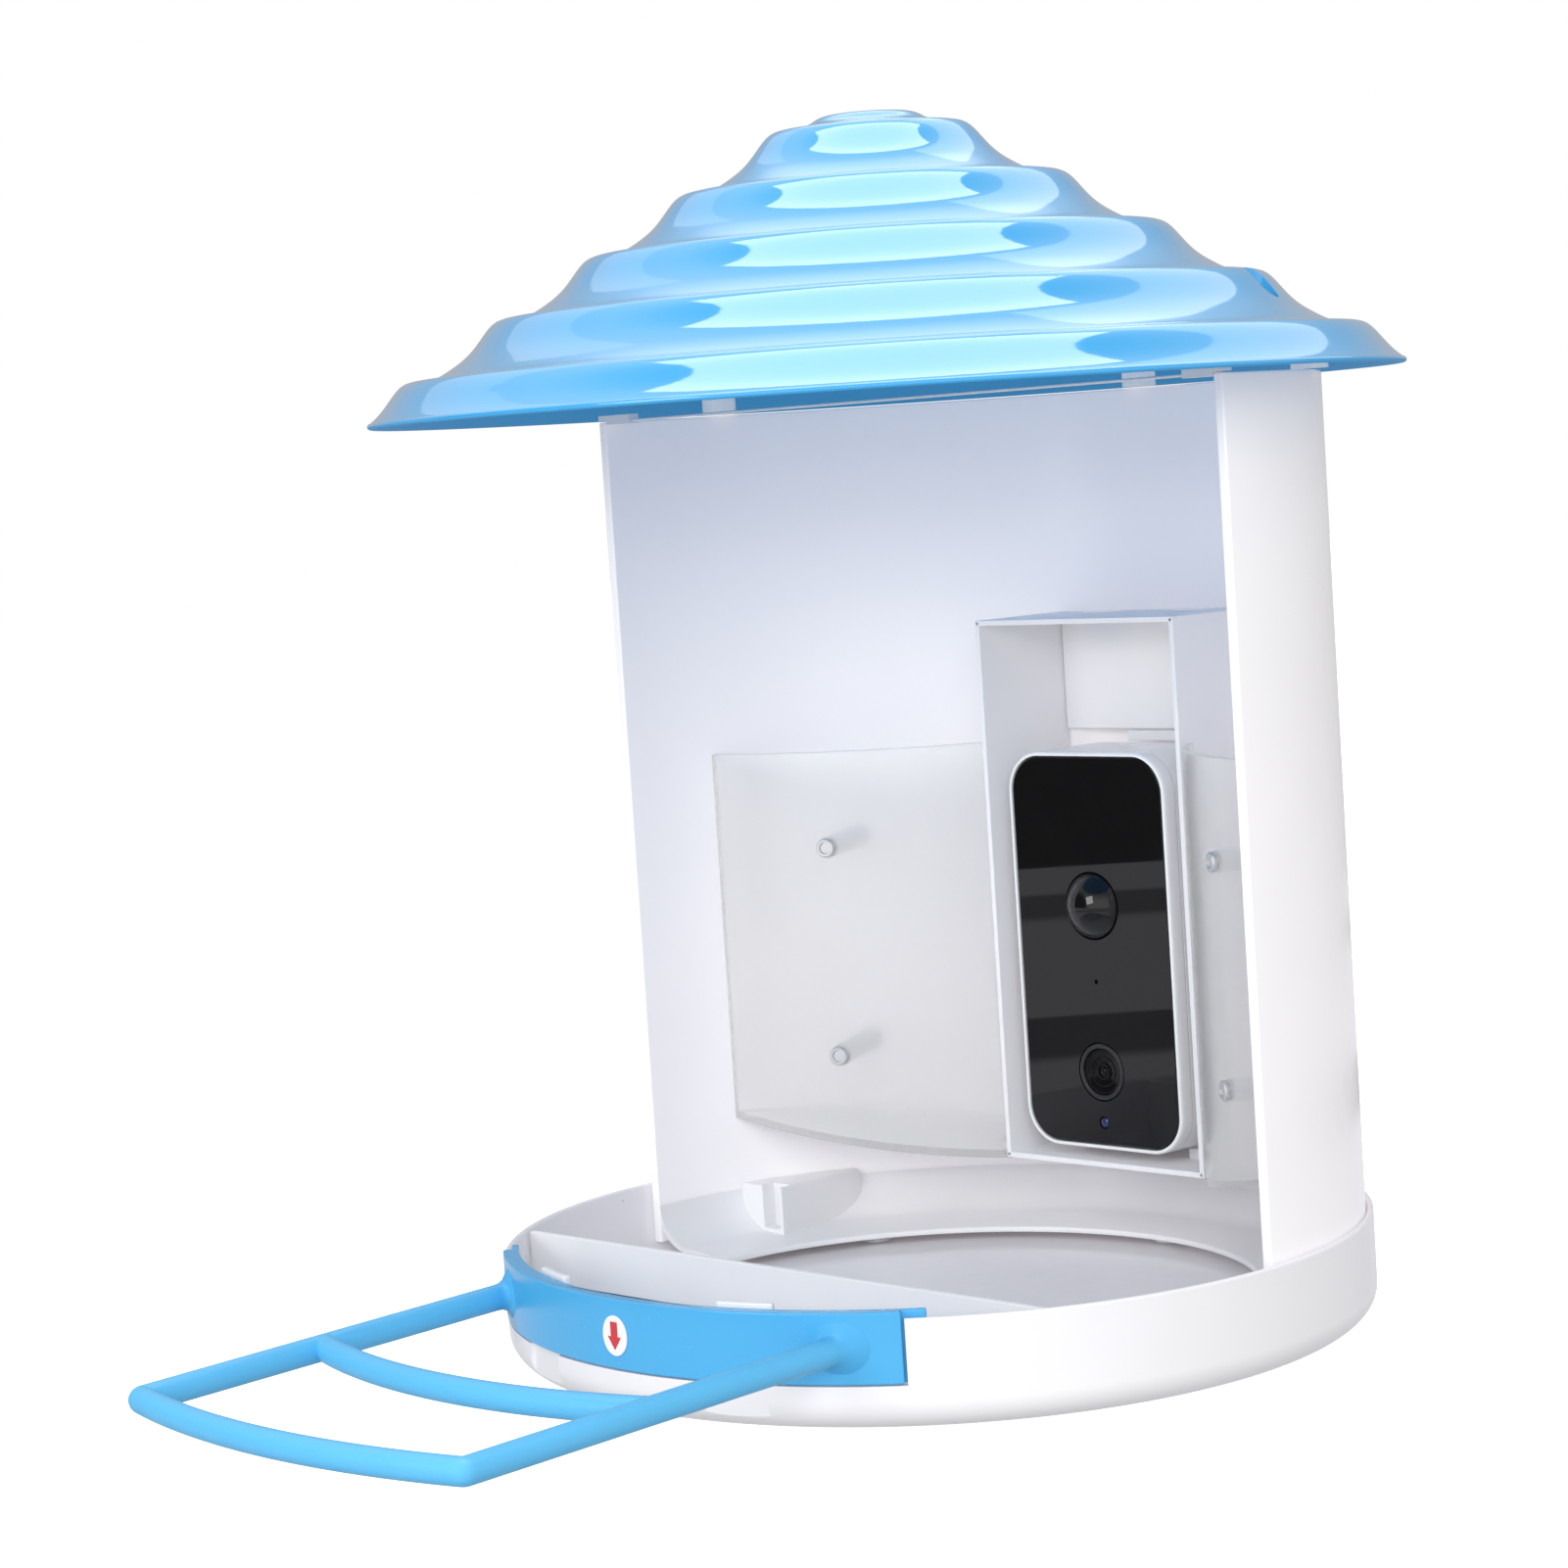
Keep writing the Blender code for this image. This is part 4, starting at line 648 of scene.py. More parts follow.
# %% Foot blocks
HANDS = (("left", -1), ("right", 1))
BLOCK_FOOT, BLOCK_TOP, BLOCK_FRONT, BLOCK_BACK = LIP_TOP - 0.0011, LIP_TOP + 0.0118, 0.0225, 0.0482
BLOCK_SIDE, BLOCK_WALL = ROOM - 0.0159, math.sqrt(ROOM ** 2 - BLOCK_FRONT ** 2)
BLOCK_CORNER, BLOCK_ROUND, GROOVE_CORNER, GROOVE_DEPTH = 0.0014, 0.0040, 0.0006, 0.0035
GROOVE_SIDE, GROOVE_END, GROOVE_FOOT = BLOCK_SIDE + 0.0007, BLOCK_SIDE + 0.0060, BLOCK_FOOT + 0.0032
for hand, side in HANDS:
    face = eased(rectangle(BLOCK_SIDE, BLOCK_WALL, BLOCK_FOOT, BLOCK_TOP) * (side, 1),
                 (BLOCK_CORNER, BLOCK_ROUND, BLOCK_CORNER, BLOCK_CORNER), 9)
    block = raised("foot_block_%s_fine" % hand, face, edge_levels(BLOCK_FRONT, BLOCK_BACK, EDGE),
                   upright=True)
    cut(block, pillar("inside", ROOM, 0, WALL_TOP, steps=240), operation="INTERSECT")
    groove = rectangle(GROOVE_SIDE, GROOVE_END, GROOVE_FOOT, BLOCK_TOP + PAST) * (side, 1)
    cut(block, raised("groove", eased(groove, GROOVE_CORNER, 4),
                      [(BLOCK_FRONT - PAST, 0), (BLOCK_FRONT + GROOVE_DEPTH, 0)], upright=True))
    dressed(block, "feeder", trim_white, "trim_white", "foot_block_" + hand)
print("blocks are", round(1000 * (BLOCK_TOP - BLOCK_FOOT), 1), "mm high")

# %% Divider
FINE_EDGE, FINE_CORNER = 0.0002, 0.0003
DIVIDER_PLACE, DIVIDER_SKIN, DIVIDER_TOP, DIVIDER_ROUND = -0.0475, 0.0015, TRAY_TOP - 0.0005, 0.0058
near, far = DIVIDER_PLACE - DIVIDER_SKIN / 2, DIVIDER_PLACE + DIVIDER_SKIN / 2
half = math.sqrt(TRAY_INNER ** 2 - near ** 2) - GAP
plate = eased(rectangle(-half, half, TRAY_FLOOR + GAP, DIVIDER_TOP),
              (DIVIDER_ROUND, DIVIDER_ROUND, CORNER, CORNER), 8)
divider = raised("divider", plate, edge_levels(near, far, FINE_CORNER), upright=True)
dressed(divider, "feeder", trim_white, "trim_white", "tray_divider")
print("divider", round(2000 * half, 1), "mm across")

# %% Band clips
FLANGE_OUTER = TRAY_INNER - GAP
FLANGE_INNER = FLANGE_OUTER - 0.0015
CLIP_OUTER, CLIP_INNER = FLANGE_INNER - GAP, FLANGE_INNER - GAP - 0.0016
CLIP_PLACE, CLIP_HALF, CLIP_TOP = math.radians(18.6), math.radians(4), TRAY_TOP + 0.0022
clip_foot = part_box("band_clip_left")[0].z
for hand, side in HANDS:
    name, middle = "band_clip_" + hand, FRONT + side * CLIP_PLACE
    plan = ring_part(CLIP_OUTER, CLIP_INNER, middle - CLIP_HALF, middle + CLIP_HALF, 12, CORNER)
    clip = raised(name + "_fine", plan, edge_levels(clip_foot, CLIP_TOP, EDGE))
    dressed(clip, "feeder", trim_white, "trim_white", name)
print("clips end at", round(1000 * CLIP_TOP, 1), "mm")

# %% [markdown]
# ## The perch
# A curved blue band drops into the tray's slot, with a wider flange behind it. Two rods run
# out from it, droop a little and carry a middle bar and an end bar, both curved about the
# tray's axis. The rods meet the band in a fillet. The band is a raised outline; the rods
# are a ring carried along a path. Near its ends the ring's radius grows as a quarter circle does,
# and its points lean so that they follow the band's curved face.

# %% Perch band
BAND_RADIUS, BAND_FOOT, BAND_TOP = TRAY_RADIUS + 0.0002, SLOT_FOOT + GAP, TRAY_TOP + 0.0014
BAND_HALF, WIDE_HALF = math.radians(39.2), math.radians(42.2)
left, right, wide_left, wide_right = (FRONT + turn * half for half in (BAND_HALF, WIDE_HALF)
                                      for turn in (-1, 1))
steps = 72
plan = np.concatenate([arc(BAND_RADIUS, left, right, steps),
                       [polar(FLANGE_OUTER, right), polar(FLANGE_OUTER, wide_right)],
                       arc(FLANGE_INNER, wide_right, wide_left, steps),
                       [polar(FLANGE_OUTER, wide_left), polar(FLANGE_OUTER, left)]])
outer_corners = [0, steps, steps + 2, steps + 3, 2 * steps + 3, 2 * steps + 4]
band = raised("band", eased_at(plan, outer_corners, EDGE), edge_levels(BAND_FOOT, BAND_TOP, EDGE))
dressed(band, "perch", band_blue, "band_blue", "perch_band")

# %% Perch finish
FADE_FROM, FADE_TO = BAND_RADIUS + 0.0005, BAND_RADIUS + 0.0060


def near_root(board):
    """The share of the band's smooth blue: it fades out a few millimetres away from the band."""
    reach = board.vector("LENGTH", board.vector("MULTIPLY", board.place(), (1, 1, 0)))
    return 1 - reach.between(FADE_FROM, FADE_TO)


perch_blue = plastic("perch_blue", BLUE_MATT, 0.42, grain=0.00010, grain_lumps=1300, drift=0.06, rub=0.15,
                     beside=(BLUE, near_root))
print("the rods turn matt over", round(1000 * (FADE_TO - FADE_FROM), 1), "mm")

# %% Perch frame
ROD, FILLET, BEND_REACH, ROOT_DEPTH, LOOP_CORNER = 0.00265, 0.0031, 0.0090, 0.003, 0.0009
ARM_PLACE = BAND_RADIUS * math.sin(math.radians(31.63))
ROOT_HEIGHT, DROOP = BAND_FOOT + 0.0069, 0.0021
END_BAR, MIDDLE_BAR = BAND_RADIUS + 0.0835, BAND_RADIUS + 0.0428
arm_root, arm_mid, arm_end = [-math.sqrt(radius ** 2 - ARM_PLACE ** 2)
                              for radius in (BAND_RADIUS, MIDDLE_BAR, END_BAR)]


def arm_height(y):
    """The arms' centre line falls evenly from the root to the end bar."""
    return ROOT_HEIGHT - DROOP * (y - arm_root) / (arm_end - arm_root)


def bar(radius, y, steps):
    """A bar's centre line between the arms: an arc about the tray's axis at the arms' height."""
    spread = math.asin(ARM_PLACE / radius)
    flat = arc(radius, FRONT - spread, FRONT + spread, steps)
    return np.concatenate([flat, np.full((len(flat), 1), arm_height(y))], 1)


def arm(side, start, end, steps):
    """A straight run of an arm between two places along Y."""
    y = np.linspace(start, end, steps)
    return np.stack([np.full(steps, side * ARM_PLACE), y, arm_height(y)], -1)


def to_the_band(x, y, z):
    """Lean the points near the roots so that they follow the band's curved face."""
    near_band = np.clip(1 - (arm_root - y) / BEND_REACH, 0, 1) ** 2
    return x, y + near_band * (-np.sqrt(BAND_RADIUS ** 2 - x ** 2) - arm_root), z


root, steps, bar_steps = arm_root + ROOT_DEPTH, 90, 80
loop = np.concatenate([arm(-1, root, arm_end, steps)[:-1], bar(END_BAR, arm_end, bar_steps),
                       arm(1, arm_end, root, steps)[1:], [(0, 0, 1)]])
loop = eased_at(loop, [steps - 1, steps - 1 + bar_steps], LOOP_CORNER, 7)[:-1]
left_over = np.clip(FILLET - (arm_root - loop[:, 1]), 0, FILLET)
flare = ROD + FILLET - np.sqrt(FILLET ** 2 - left_over ** 2)
frame_rods = moved(rod_along("perch_rods", loop, flare), to_the_band)
cut(frame_rods, rod_along("middle_rod", bar(MIDDLE_BAR, arm_mid, 60), ROD), operation="UNION")
dressed(frame_rods, "perch", perch_blue, "perch_blue", "perch_frame")

# %% [markdown]
# The sticker is a thin oval on the band's face with a plain arrow on it that points down, the
# way the perch is pushed in. Both are bent to the band: an outline in (x, z) is carried
# through depths, and each point's y is worked out from the band's radius at its x.

# %% Sticker and arrow
STICKER_PLACE, STICKER_SIZE, STICKER_EDGE = BAND_FOOT + 0.0067, (0.0034, 0.00395), 0.00004
STICKER_BACK, STICKER_FACE = BAND_RADIUS + 0.0001, BAND_RADIUS + 0.00035
ARROW_BACK, ARROW_FACE = BAND_RADIUS + 0.00033, BAND_RADIUS + 0.0005
SHAFT, HEAD, ARROW_HALF, HEAD_LENGTH = 0.0009, 0.0018, 0.0027, 0.0025


def bent(name, outline, near, far):
    """Carry a front-view outline (x, z) through radii about Z: y = -sqrt(R^2 - x^2)."""
    levels = [(-near, 0), (STICKER_EDGE - far, 0), (-far, STICKER_EDGE)]
    return moved(raised(name, outline, levels, upright=True),
                 lambda x, y, z: (x, -np.sqrt(y ** 2 - x ** 2), z))


sticker = bent("sticker", arc(1, 0, TURN, 64)[:-1] * STICKER_SIZE + (0, STICKER_PLACE),
               STICKER_BACK, STICKER_FACE)
neck = HEAD_LENGTH - ARROW_HALF
arrow_line = np.array([(-SHAFT, ARROW_HALF), (-SHAFT, neck), (-HEAD, neck), (0, -ARROW_HALF),
                       (HEAD, neck), (SHAFT, neck), (SHAFT, ARROW_HALF)]) + (0, STICKER_PLACE)
arrow = bent("arrow", arrow_line, ARROW_BACK, ARROW_FACE)
sticker_white = plastic("sticker_white", (0.88, 0.88, 0.89), 0.34, grain=0.000004)
arrow_red = plastic("arrow_red", (0.62, 0.035, 0.042), 0.36, grain=0.000004, drift=0.08)
dressed(sticker, "perch", sticker_white, "sticker_white", "arrow_sticker")
dressed(arrow, "perch", arrow_red, "arrow_red", "arrow_mark")
print("arrow", round(2000 * ARROW_HALF, 1), "mm long")

# %% [markdown]
# ## The camera's housing
# A thin rectangular tube stands at the back between the bins and holds the camera. It is a
# rectangle raised through levels that close into a wall's section. Two shallow notches are cut
# in the back of its top, two rails lie on its floor, and a plate and a small latch close it above
# the camera.

# %% Camera box
BOX_HALF, BOX_SKIN = 0.0283, 0.0012
BOX_BACK = math.sqrt(ROOM ** 2 - BOX_HALF ** 2)
BOX_FRONT, BOX_FOOT = BOX_BACK - 0.0281, TRAY_TOP + 0.0019
BOX_TOP = BOX_FOOT + 0.1197
NOTCH_PLACE, NOTCH_HALF, NOTCH_DEPTH, NOTCH_FALL = 0.0130, 0.006, 0.0024, 0.005
RAIL_PLACE, RAIL_HALF, RAIL_HEIGHT, RAIL_START, RAIL_SUNK = 0.0160, 0.0015, 0.0022, 0.0120, 0.0001
box = raised("box", eased(rectangle(-BOX_HALF, BOX_HALF, BOX_FOOT, BOX_TOP), EDGE, 4),
             eased(rectangle(BOX_FRONT, BOX_BACK, 0, BOX_SKIN), FINE_EDGE, 4), upright=True, closed=True)
notch = rectangle(-NOTCH_HALF, NOTCH_HALF, BOX_BACK - NOTCH_DEPTH - PAST, BOX_BACK - NOTCH_DEPTH)
cut(box, *[raised("notch", notch + (side * NOTCH_PLACE, 0),
                  [(BOX_TOP - NOTCH_FALL, 0), (BOX_TOP + NOTCH_FALL, 0)]) for side in (-1, 1)])
dressed(box, "feeder", box_white, "box_white", "camera_box")
rail_line = rectangle(-RAIL_HALF, RAIL_HALF, BOX_FRONT + RAIL_START, BOX_BACK)
box_floor = BOX_FOOT + BOX_SKIN
rail_levels = edge_levels(box_floor - RAIL_SUNK, box_floor + RAIL_HEIGHT, FINE_CORNER)
for number, place in enumerate((-RAIL_PLACE, RAIL_PLACE), 1):
    dressed(raised("box_rail_%d" % number, rail_line + (place, 0), rail_levels), "feeder", box_white,
            "box_white")
print("box", round(2000 * BOX_HALF, 1), "x", round(1000 * (BOX_TOP - BOX_FOOT), 1), "mm")

# %% Back plate and latch
for name, white, slot_name in (("box_back_plate", box_white, "box_white"),
                               ("camera_latch", trim_white, "trim_white")):
    near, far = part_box(name)
    fine = raised(name + "_fine", eased(rectangle(near.x, far.x, near.z, far.z), FINE_CORNER, 4),
                  edge_levels(near.y, far.y, FINE_EDGE), upright=True)
    dressed(fine, "feeder", white, slot_name, name)

# %% [markdown]
# ## The seed bins
# On each side of the camera a frosted sheet curves from the housing to the wall and holds back
# the seed. A sloping floor lets it run out of a half-round opening beside the housing. The
# sheet is the front of a plan outline; the room behind it and the space under its sloping
# floor are cut away. Frosted plastic is rough inside and out, so it passes light but
# blurs what lies behind it, more so the further back it is.

# %% Frosted finish
def frosted(board):
    """Pale, rough and see-through: the roughness and tint drift a little."""
    tint = board.blend(board.noise(60, 3), (0.94, 0.94, 0.945, 1), (0.98, 0.98, 0.98, 1))
    return board.skin(tint, 0.20 + 0.08 * board.noise(240, 2), board.noise(1600, 2) * 0.000004)


# The sheets' faint glow is painted light that lifts their shade.
bin_frosted = finish_of("bin_frosted", {"IOR": 1.45, "Transmission Weight": 0.78,
                                        **glow(0.03, (1, 1, 0.98))}, frosted)
print("frosted finish ready")

# %% Plan of a bin
BOX_SIDE = BOX_HALF + GAP
SHEET_INSET, SHEET_BEHIND = 0.0029, 0.0017
centre = np.array([WALL_RADIUS - SHEET_INSET, WALL_RADIUS])
SHEET = math.hypot(centre[0] - BOX_SIDE, centre[1] - BOX_FRONT - SHEET_BEHIND)
SHEET_SKIN, SHEET_TOP, SHEET_EDGE = 0.0012, BOX_FOOT + 0.0927, 0.0003
BIN_FOOT, BIN_SLOPE, BIN_SKIN, SPILL = BOX_FOOT - 0.0006, 0.190, 0.0015, 0.004 / SHEET
OUTLET, OUTLET_PLACE, OUTLET_FOOT = 0.0090, 0.0110, -0.01
SLOPE_NEAR, SLOPE_FAR, SLOPE_DEEP, SLOPE_BACK = BOX_HALF - 0.02, 0.12, -0.05, 0.15
PIN_HOLE, PIN_RISES, PIN_SHARE = 0.0013, (0.0247, 0.0714), 0.451
PIN_PLACE = BOX_HALF + PIN_SHARE * (WALL_RADIUS - BOX_HALF)
at_box = FRONT - math.asin((centre[0] - BOX_SIDE) / SHEET)
apart = math.hypot(*centre)
at_wall = (math.atan2(-centre[1], -centre[0])
           + math.acos((apart ** 2 + SHEET ** 2 - ROOM ** 2) / (2 * apart * SHEET)))
front_arc = arc(SHEET, at_wall, at_box, 60, centre)
back_arc = arc(ROOM, math.acos(BOX_SIDE / ROOM), math.atan2(front_arc[0][1], front_arc[0][0]), 40)
pin_drop = -math.asin(math.sqrt(SHEET ** 2 - (centre[0] - PIN_PLACE) ** 2) / SHEET)
print("sheet radius", round(1000 * SHEET, 2), "mm, top at", round(1000 * SHEET_TOP, 1), "mm")

# %% Seed bins
def slope_cutter(side, top):
    """Everything below a bin floor's slope, which rises away from the housing."""
    near, far = [(x, top + (x - BOX_HALF) * BIN_SLOPE) for x in (SLOPE_NEAR, SLOPE_FAR)]
    corners = np.array([near, far, (SLOPE_FAR, SLOPE_DEEP), (SLOPE_NEAR, SLOPE_DEEP)])
    return raised("slope", corners * (side, 1), [(SLOPE_DEEP, 0), (SLOPE_BACK, 0)], upright=True)


def pin_seat(side):
    """Where the screws of one side meet the sheet in plan, and the way they point."""
    out = np.array([-math.cos(pin_drop), math.sin(pin_drop)]) * (side, 1)
    return centre * (side, 1) + out * SHEET, out


for hand, side in HANDS:
    plan = np.concatenate([front_arc, back_arc[:-1]]) * (side, 1)
    seed_bin = raised("seed_bin_%s_fine" % hand, plan, [
        (0, 0), (SHEET_TOP - SHEET_EDGE, 0), (SHEET_TOP - SHEET_EDGE / 3, SHEET_EDGE / 3),
        (SHEET_TOP, SHEET_EDGE)])
    hollow = arc(SHEET - SHEET_SKIN, at_wall + SPILL, at_box - SPILL, 60, centre)
    hollow = np.concatenate([hollow, [(hollow[-1][0], TRAY_RADIUS), (TRAY_RADIUS + PAST, TRAY_RADIUS),
                                      (TRAY_RADIUS + PAST, hollow[0][1])]])
    room = raised("room", hollow * (side, 1), [(0, 0), (SHEET_TOP + PAST, 0)])
    cut(room, slope_cutter(side, BIN_FOOT + BIN_SKIN))
    seat, out = pin_seat(side)
    holes = [laid(pillar("hole", PIN_HOLE, -PAST, PAST, steps=20), (*seat, BOX_FOOT + rise), out)
             for rise in PIN_RISES]
    outlet = pillar("outlet", OUTLET, OUTLET_FOOT, SHEET_TOP / 2,
                    (side * BOX_HALF, BOX_FRONT + OUTLET_PLACE))
    cut(seed_bin, room, slope_cutter(side, BIN_FOOT), outlet, *holes)
    dressed(seed_bin, "feeder", bin_frosted, "bin_frosted", "seed_bin_" + hand)
print("bin floors rise", round(100 * BIN_SLOPE), "mm in 100")

# %% [markdown]
# Each sheet is held by two screws into stand-offs. Their heads show as small rings on the sheet,
# so a profile with a sunk middle is turned about Z and laid on its side, square to the sheet.
# Such small profiles are written in hundredths of a millimetre.

# %% Bin screws
def steel(board):
    """Steel: fine scratches, a noise that changes its gloss and its colour a little."""
    scratch = board.noise(2400, 4, 0.7)
    tint = board.blend(scratch, (0.74, 0.74, 0.74, 1), (0.86, 0.86, 0.86, 1))
    return board.skin(tint, 0.50 + 0.2 * scratch, scratch * 0.000006)


screw_steel = finish_of("screw_steel", {"Metallic": 1.0}, steel)
HUNDREDTH = 0.00001
screw_line = HUNDREDTH * np.array([(0, -800), (80, -800), (100, -760), (100, 30), (210, 30), (210, 90),
                                   (180, 120), (140, 120), (120, 70), (0, 75)])
places = [(side, rise) for side in (-1, 1) for rise in PIN_RISES]
for number, (side, rise) in enumerate(places, 1):
    seat, out = pin_seat(side)
    screw = laid(turned("bin_screw_%d_fine" % number, screw_line, 40), (*seat, BOX_FOOT + rise), out)
    dressed(screw, "feeder", screw_steel, "screw_steel", "bin_screw_%d" % number)
    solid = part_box("bin_screw_%d" % number)
    print("screw", number, "solid from", np.round(1000 * np.array(solid[0]), 1), "skin from",
          np.round(1000 * np.array([vertex.co for vertex in screw.data.vertices]).min(0), 1))

# %% [markdown]
# ## The camera
# The camera is a rounded white case with a thin pale rim round a black glass front. On the glass
# are a domed motion sensor, a round lens in a ring, a status light below it and a pinhole for the
# microphone.

# %% Case and rim
CAM_HALF, CAM_FOOT, CAM_CORNER = 0.0223, box_floor + RAIL_HEIGHT + GAP, 0.0088
CAM_TOP, CAM_FRONT = CAM_FOOT + 0.0870, BOX_FRONT + 0.0011
CAM_SEAM, CAM_BACK = CAM_FRONT + 0.0039, CAM_FRONT + 0.0249
BACK_ROUND, CASE_SKIN, RIM_WIDTH, RIM_ROUND = 0.0030, 0.0015, 0.0009, 0.0014


def camera_line(inset, steps=16):
    """The camera's outline, or one inside it: a quarter circle about each corner's centre, from the
    upper one at positive x round to the lower one."""
    half, corner = CAM_HALF - inset, CAM_CORNER - inset
    low, high = CAM_FOOT + inset, CAM_TOP - inset
    centres = rectangle(half - corner, corner - half, high - corner, low + corner)
    return np.concatenate([arc(corner, turn * TURN / 4, (turn + 1) * TURN / 4, steps, middle)
                           for turn, middle in enumerate(centres)])


t = np.linspace(0, TURN / 4, 9)
back_levels = np.stack([CAM_BACK - BACK_ROUND * (1 - np.sin(t)), BACK_ROUND * (1 - np.cos(t))], -1)
case = raised("case", camera_line(0), [(CAM_SEAM, CASE_SKIN), (CAM_SEAM, FINE_EDGE / 2),
                                       (CAM_SEAM + FINE_EDGE, 0), *back_levels], upright=True)
cut(case, raised("room", camera_line(CASE_SKIN), [(CAM_SEAM - PAST, 0), (CAM_BACK - CASE_SKIN, 0)],
                 upright=True))
dressed(case, "camera", camera_white, "camera_white", "camera_case")
section = eased(rectangle(CAM_FRONT, CAM_SEAM - GAP, 0, RIM_WIDTH),
                (RIM_ROUND, FINE_EDGE, FINE_EDGE, FINE_EDGE), 8)
rim_piece = raised("rim", camera_line(0), section, upright=True, closed=True)
dressed(rim_piece, "camera", camera_white, "camera_white", "camera_bezel")
print("camera", round(2000 * CAM_HALF, 1), "x", round(1000 * (CAM_TOP - CAM_FOOT), 1), "mm")

# %% [markdown]
# The glass is polished and black. Real ones carry faint smears, so its gloss drifts slightly. The
# round parts on it are profiles turned about Z and then laid on their side, with Z pointing out
# of the front.

# %% Glass front
GLASS_FRONT, GLASS_BACK, GLASS_INSET = CAM_FRONT + 0.0002, CAM_FRONT + 0.0017, 0.0012
LENS_HEIGHT = CAM_FOOT + 0.0171
DOME_HEIGHT, LIGHT_HEIGHT, MIC_HEIGHT = LENS_HEIGHT + 0.0364, LENS_HEIGHT - 0.0112, LENS_HEIGHT + 0.0198
DRILLS = ((DOME_HEIGHT, 0.0075), (LENS_HEIGHT, 0.0065), (LIGHT_HEIGHT, 0.0014), (MIC_HEIGHT, 0.0005))


def smeared(gloss, spread):
    """Black glass: nearly a mirror, with smears that dull it a little."""
    def varied(board):
        smear = board.noise(90, 3, 0.6)
        return {"Base Color": board.blend(smear, (0.004, 0.004, 0.0045, 1), (0.007, 0.0065, 0.007, 1)),
                "Roughness": gloss + spread * smear.between(0.5, 0.75)}
    return varied


front_black = finish_of("front_black", {"IOR": 1.5}, smeared(0.012, 0.02))
glass = raised("glass", camera_line(GLASS_INSET), edge_levels(GLASS_FRONT, GLASS_BACK, FINE_EDGE),
               upright=True)
cut(glass, *[pillar("drill", radius, GLASS_FRONT - PAST, GLASS_BACK + PAST, (0, height), upright=True)
             for height, radius in DRILLS])
dressed(glass, "camera", front_black, "front_black", "front_glass")

# %% Dome
DOME, BULGE, DOME_SKIN, DOME_SUNK = 0.0072, 0.0042, 0.001, 0.002


def facing(name, profile, height, steps=64, closed=False):
    """A profile (radius, how far it stands out of the glass), turned and laid to point forwards."""
    return laid(turned(name, profile, steps, closed=closed), (0, GLASS_FRONT, height), (0, -1))


ball = (DOME ** 2 / BULGE + BULGE) / 2
t = np.linspace(0, math.asin(DOME / ball), 24)
cap_line = np.stack([ball * np.sin(t), ball * np.cos(t) - ball + BULGE], -1)
inner_line = np.stack([cap_line[:, 0] * (DOME - DOME_SKIN) / DOME, cap_line[:, 1] - DOME_SKIN], -1)
dome = facing("dome", [*cap_line, (DOME, -DOME_SUNK), (DOME - DOME_SKIN, -DOME_SUNK), *inner_line[::-1]],
              DOME_HEIGHT)
dressed(dome, "camera", front_black, "front_black", "sensor_dome")
print("dome stands out", round(1000 * BULGE, 1), "mm")

# %% Lens
LENS_INNER, LENS_OUTER, LENS_SUNK, LENS_PROUD = 0.0052, 0.0062, 0.0015, 0.0001
part_dark = plastic("part_dark", (0.022, 0.022, 0.025), 0.28, grain=0.000004)
ring = rectangle(LENS_INNER, LENS_OUTER, -LENS_SUNK, LENS_PROUD)
lens_rim = facing("lens_rim", eased(ring, FINE_CORNER, 5), LENS_HEIGHT, closed=True)
dressed(lens_rim, "camera", part_dark, "part_dark", "lens_ring")
cover_line = HUNDREDTH * np.array([
    (0, -35), (50, -40), (90, -60), (110, -95), (130, -95), (150, -55), (180, -55), (200, -90),
    (310, -75), (320, -55), (340, -55), (350, -70), (460, -45), (490, -50), (490, -110), (0, -110)])
lens_dark = finish_of("lens_dark", {"IOR": 1.32}, smeared(0.10, 0.06))
dressed(facing("cover", cover_line, LENS_HEIGHT), "camera", lens_dark, "lens_dark", "lens_cover")
print("lens", round(2000 * LENS_OUTER, 1), "mm across")

# %% Status light
light_blue = finish_of("light_blue", {"IOR": 1.5, "Emission Strength": 0.05}, lambda board: {
    "Base Color": board.blend(board.noise(900), (0.010, 0.014, 0.060, 1), (0.022, 0.030, 0.110, 1)),
    "Emission Color": board.blend(board.noise(700), (0.05, 0.07, 0.35, 1), (0.10, 0.14, 0.55, 1)),
    "Roughness": 0.12 + 0.05 * board.noise(500)})
lamp_line = HUNDREDTH * np.array([(0, 15), (60, 10), (100, -10), (110, -40), (110, -150), (0, -150)])
dressed(facing("lamp", lamp_line, LIGHT_HEIGHT, 32), "camera", light_blue, "light_blue", "status_light")
print("light", round(2000 * lamp_line[:, 0].max(), 1), "mm across")

# %% [markdown]
# ## Finishes for the parts that keep their solids
# The rest are small or inside, so the packed solids stay and only get finishes: milky studs and
# pins, screws of brushed steel, the board, the cells, the speaker and the sensor.

# %% Small parts' finishes
def lacquered(board):
    """A circuit board: green lacquer over tracks, shown as bands of a voronoi edge pattern."""
    track = board.node("ShaderNodeTexVoronoi", {"feature": "DISTANCE_TO_EDGE"},
                       {"Vector": board.place(), "Scale": 260})
    line = 1 - track.between(0.05, 0.12)
    tint = board.blend(line, (0.012, 0.12, 0.045, 1), (0.05, 0.26, 0.11, 1))
    return board.skin(tint, 0.30 + 0.1 * line, line * 0.00003)


pin_frosted = plastic("pin_frosted", (0.66, 0.66, 0.70), 0.35, grain=0.000006)
# The studs' faint glow is painted light that lifts their shade.
stud_clear = finish_of("stud_clear", {"IOR": 1.47, "Transmission Weight": 0.50, **glow(0.08)}, frosted)
sensor_steel = finish_of("sensor_steel", {"Metallic": 1.0}, steel)
board_green = finish_of("board_green", {"IOR": 1.5}, lacquered)
cell_sleeve = plastic("cell_sleeve", (0.030, 0.120, 0.350), 0.25, grain=0.00001, drift=0.1)
print(len(bpy.data.materials), "materials by now")

